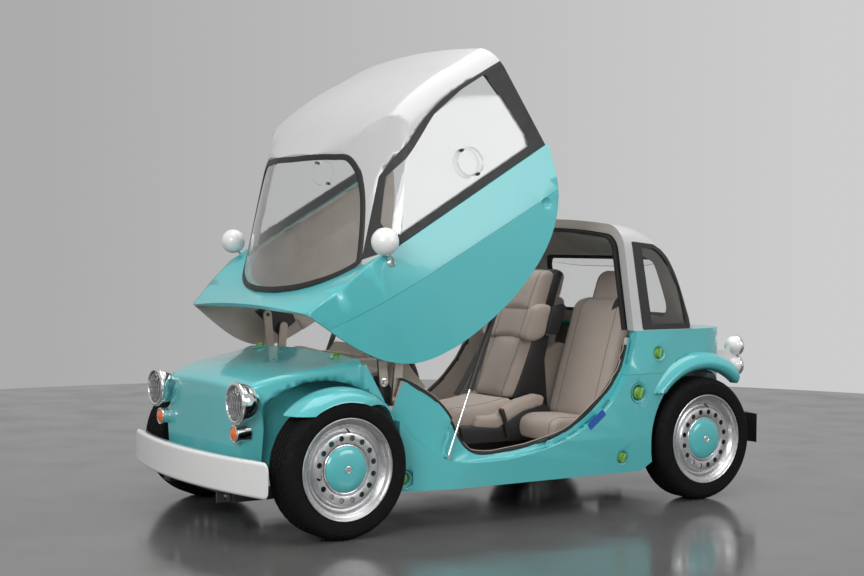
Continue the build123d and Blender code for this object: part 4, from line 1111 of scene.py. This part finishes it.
def console():
    """Grey console between the rear seats, with its knobs."""
    outline = [(1128, 262), (1120, 330), (1190, 372), (1292, 560), (1340, 640), (1420, 668), (1470, 655),
               (1440, 500), (1400, 262)]
    add("rear_console", *plate(outline, -96, 96, 14), "body", "interior_trim", 40)
    parts = [knob(at(x, 1318, 622), (x / 300, -0.85, 0.45), 1.15, 0.4) for x in (60, -60)]
    parts.append(knob(at(102, 1180, 330), (1, -0.2, 0), 1.0, 1.2))
    add("console_knobs", *merged(parts), "body", LIME, 35)


def buckle(spot, lean):
    """Belt buckle: its case and its red button."""
    out = Vector((0, -math.sin(lean), math.cos(lean)))
    axes = Matrix((Vector((1, 0, 0)), out.cross(Vector((1, 0, 0))), out)).transposed()
    return block(spot, (26, 17, 60), axes, 4), block(spot + out * 0.0275, (18, 11, 12), axes, 3)


def belts():
    """Buckles on short stalks, the booster's shoulder belt and the rear belts."""
    cases, buttons = [], []
    for x, y, z, lean in ((205, 1030, 368, 0.35), (118, 1165, 388, 0.3), (-118, 1165, 388, 0.3)):
        case, button = buckle(at(x, y, z), lean)
        cases += [case, rod([at(x, y + 30, z - 95), at(x, y + 8, z - 22)], 7, 12)]
        buttons.append(button)
    add("belt_buckles", *merged(cases), "body", "dark_plastic", 40)
    add("buckle_buttons", *merged(buttons), "body", BUTTON_RED, 40)
    runs = [([(-132, 1400, 860), (-140, 1300, 800), (-150, 1205, 700), (-168, 1130, 560), (-186, 1050, 420)],
             Vector((0, -0.8, 0.5)), 42)]
    for side in SIDES:
        runs.append(([(side * 405, 1612, 868), (side * 402, 1560, 880), (side * 398, 1500, 846),
                      (side * 396, 1428, 600), (side * 394, 1375, 420), (side * 398, 1330, 372)],
                     Vector((0, -0.9, 0.35)), 44))
    bands = []
    for spots, normal, width in runs:
        line = smooth_line([at(*spot) for spot in spots])
        bands.append(strap(line, [normal] * len(line), width, 2.4))
    add("seat_belts", *merged(bands), "body", WEBBING, 40)


# ---- stage

CAMERA_PLACE = (5.4848, -3.7581, 1.0989)
CAMERA_YAW, CAMERA_PITCH, CAMERA_ROLL = 0.58105, 0.02795, 0.00716


def camera():
    """Eye-level view of the front left corner."""
    data = bpy.data.cameras.new("camera")
    data.lens = 63.0
    eye = linked("camera", data)
    level = Vector((-math.cos(CAMERA_YAW), math.sin(CAMERA_YAW), 0.0))
    side = level.cross(Vector((0, 0, 1)))
    ahead = level * math.cos(CAMERA_PITCH) - Vector((0, 0, 1)) * math.sin(CAMERA_PITCH)
    above = side.cross(ahead)
    right = side * math.cos(CAMERA_ROLL) + above * math.sin(CAMERA_ROLL)
    up = above * math.cos(CAMERA_ROLL) - side * math.sin(CAMERA_ROLL)
    turn = Matrix((right, up, -ahead)).transposed()
    eye.matrix_world = Matrix.Translation(CAMERA_PLACE) @ turn.to_4x4()
    bpy.context.scene.camera = eye


def softbox(name, where, aim, width, height, power):
    """Rectangular light that looks at a point."""
    data = bpy.data.lights.new(name, "AREA")
    data.shape = "RECTANGLE"
    data.size = width
    data.size_y = height
    data.energy = power
    lamp = linked(name, data)
    lamp.location = where
    lamp.rotation_euler = (Vector(aim) - Vector(where)).to_track_quat("-Z", "Y").to_euler()


FLOOR_GREY = (0.115, 0.114, 0.112)


def floor():
    """Studio floor: a large dark disc with a wet sheen."""
    shape = bmesh.new()
    bmesh.ops.create_circle(shape, cap_ends=True, radius=5.75, segments=160)
    mesh = mesh_from(shape, "studio_floor")
    mat, main = material("studio floor", FLOOR_GREY, 0.16)
    vary(mat, main, FLOOR_GREY, 1.1, 0.09)
    rough_vary(mat, main, 3.0, 0.09, 0.22)
    tuned(main, specular_ior_level=0.75)
    mesh.materials.append(mat)
    linked("studio_floor", mesh)


def world():
    """Soft grey room light, and a backdrop that brightens to the camera's right."""
    bpy.context.view_layer.update()
    to_right = bpy.context.scene.camera.matrix_world.to_3x3().col[0]
    sky = bpy.data.worlds.new("studio")
    bpy.context.scene.world = sky
    sky.use_nodes = True
    room = tuned(sky.node_tree.nodes["Background"], color=(0.80, 0.80, 0.80, 1.0), strength=0.62)
    across = node(sky, "ShaderNodeVectorMath", operation="DOT_PRODUCT")
    across.inputs[1].default_value = to_right
    join(sky, node(sky, "ShaderNodeTexCoord").outputs["Generated"], across.inputs[0])
    fade = node(sky, "ShaderNodeMapRange", from_min=-0.25, from_max=0.25, to_min=0.41, to_max=0.61)
    join(sky, across.outputs["Value"], fade.inputs["Value"])
    wall = node(sky, "ShaderNodeBackground")
    join(sky, fade.outputs["Result"], wall.inputs["Color"])
    path = node(sky, "ShaderNodeLightPath")
    seen = math_node(sky, "MAXIMUM", path.outputs["Is Camera Ray"], path.outputs["Is Transmission Ray"])
    mix = node(sky, "ShaderNodeMixShader")
    join(sky, seen, mix.inputs["Fac"])
    join(sky, room.outputs["Background"], mix.inputs[1])
    join(sky, wall.outputs["Background"], mix.inputs[2])
    join(sky, mix.outputs["Shader"], sky.node_tree.nodes["World Output"].inputs["Surface"])


def studio():
    """Camera, floor, backdrop and lights."""
    camera()
    floor()
    world()
    softbox("ceiling", (0.3, 0.2, 4.3), (0.0, 0.0, 0.5), 5.0, 4.2, 150.0)
    softbox("front_fill", (3.2, -4.6, 2.6), (0.0, 0.0, 0.6), 2.4, 1.8, 115.0)
    softbox("side_fill", (5.2, 1.6, 2.4), (0.0, 0.2, 0.6), 2.6, 1.6, 60.0)
    bpy.context.scene.view_settings.view_transform = "Standard"


dress_nodes()
smooth_copies()
wheels()
headlamps()
turn_signals()
tail_lamps()
knobs()
markers()
ring_handles()
bolts()
mirror_stalks()
screen_border()
seal_edges()
seats()
seat_shells()
console()
belts()
studio()
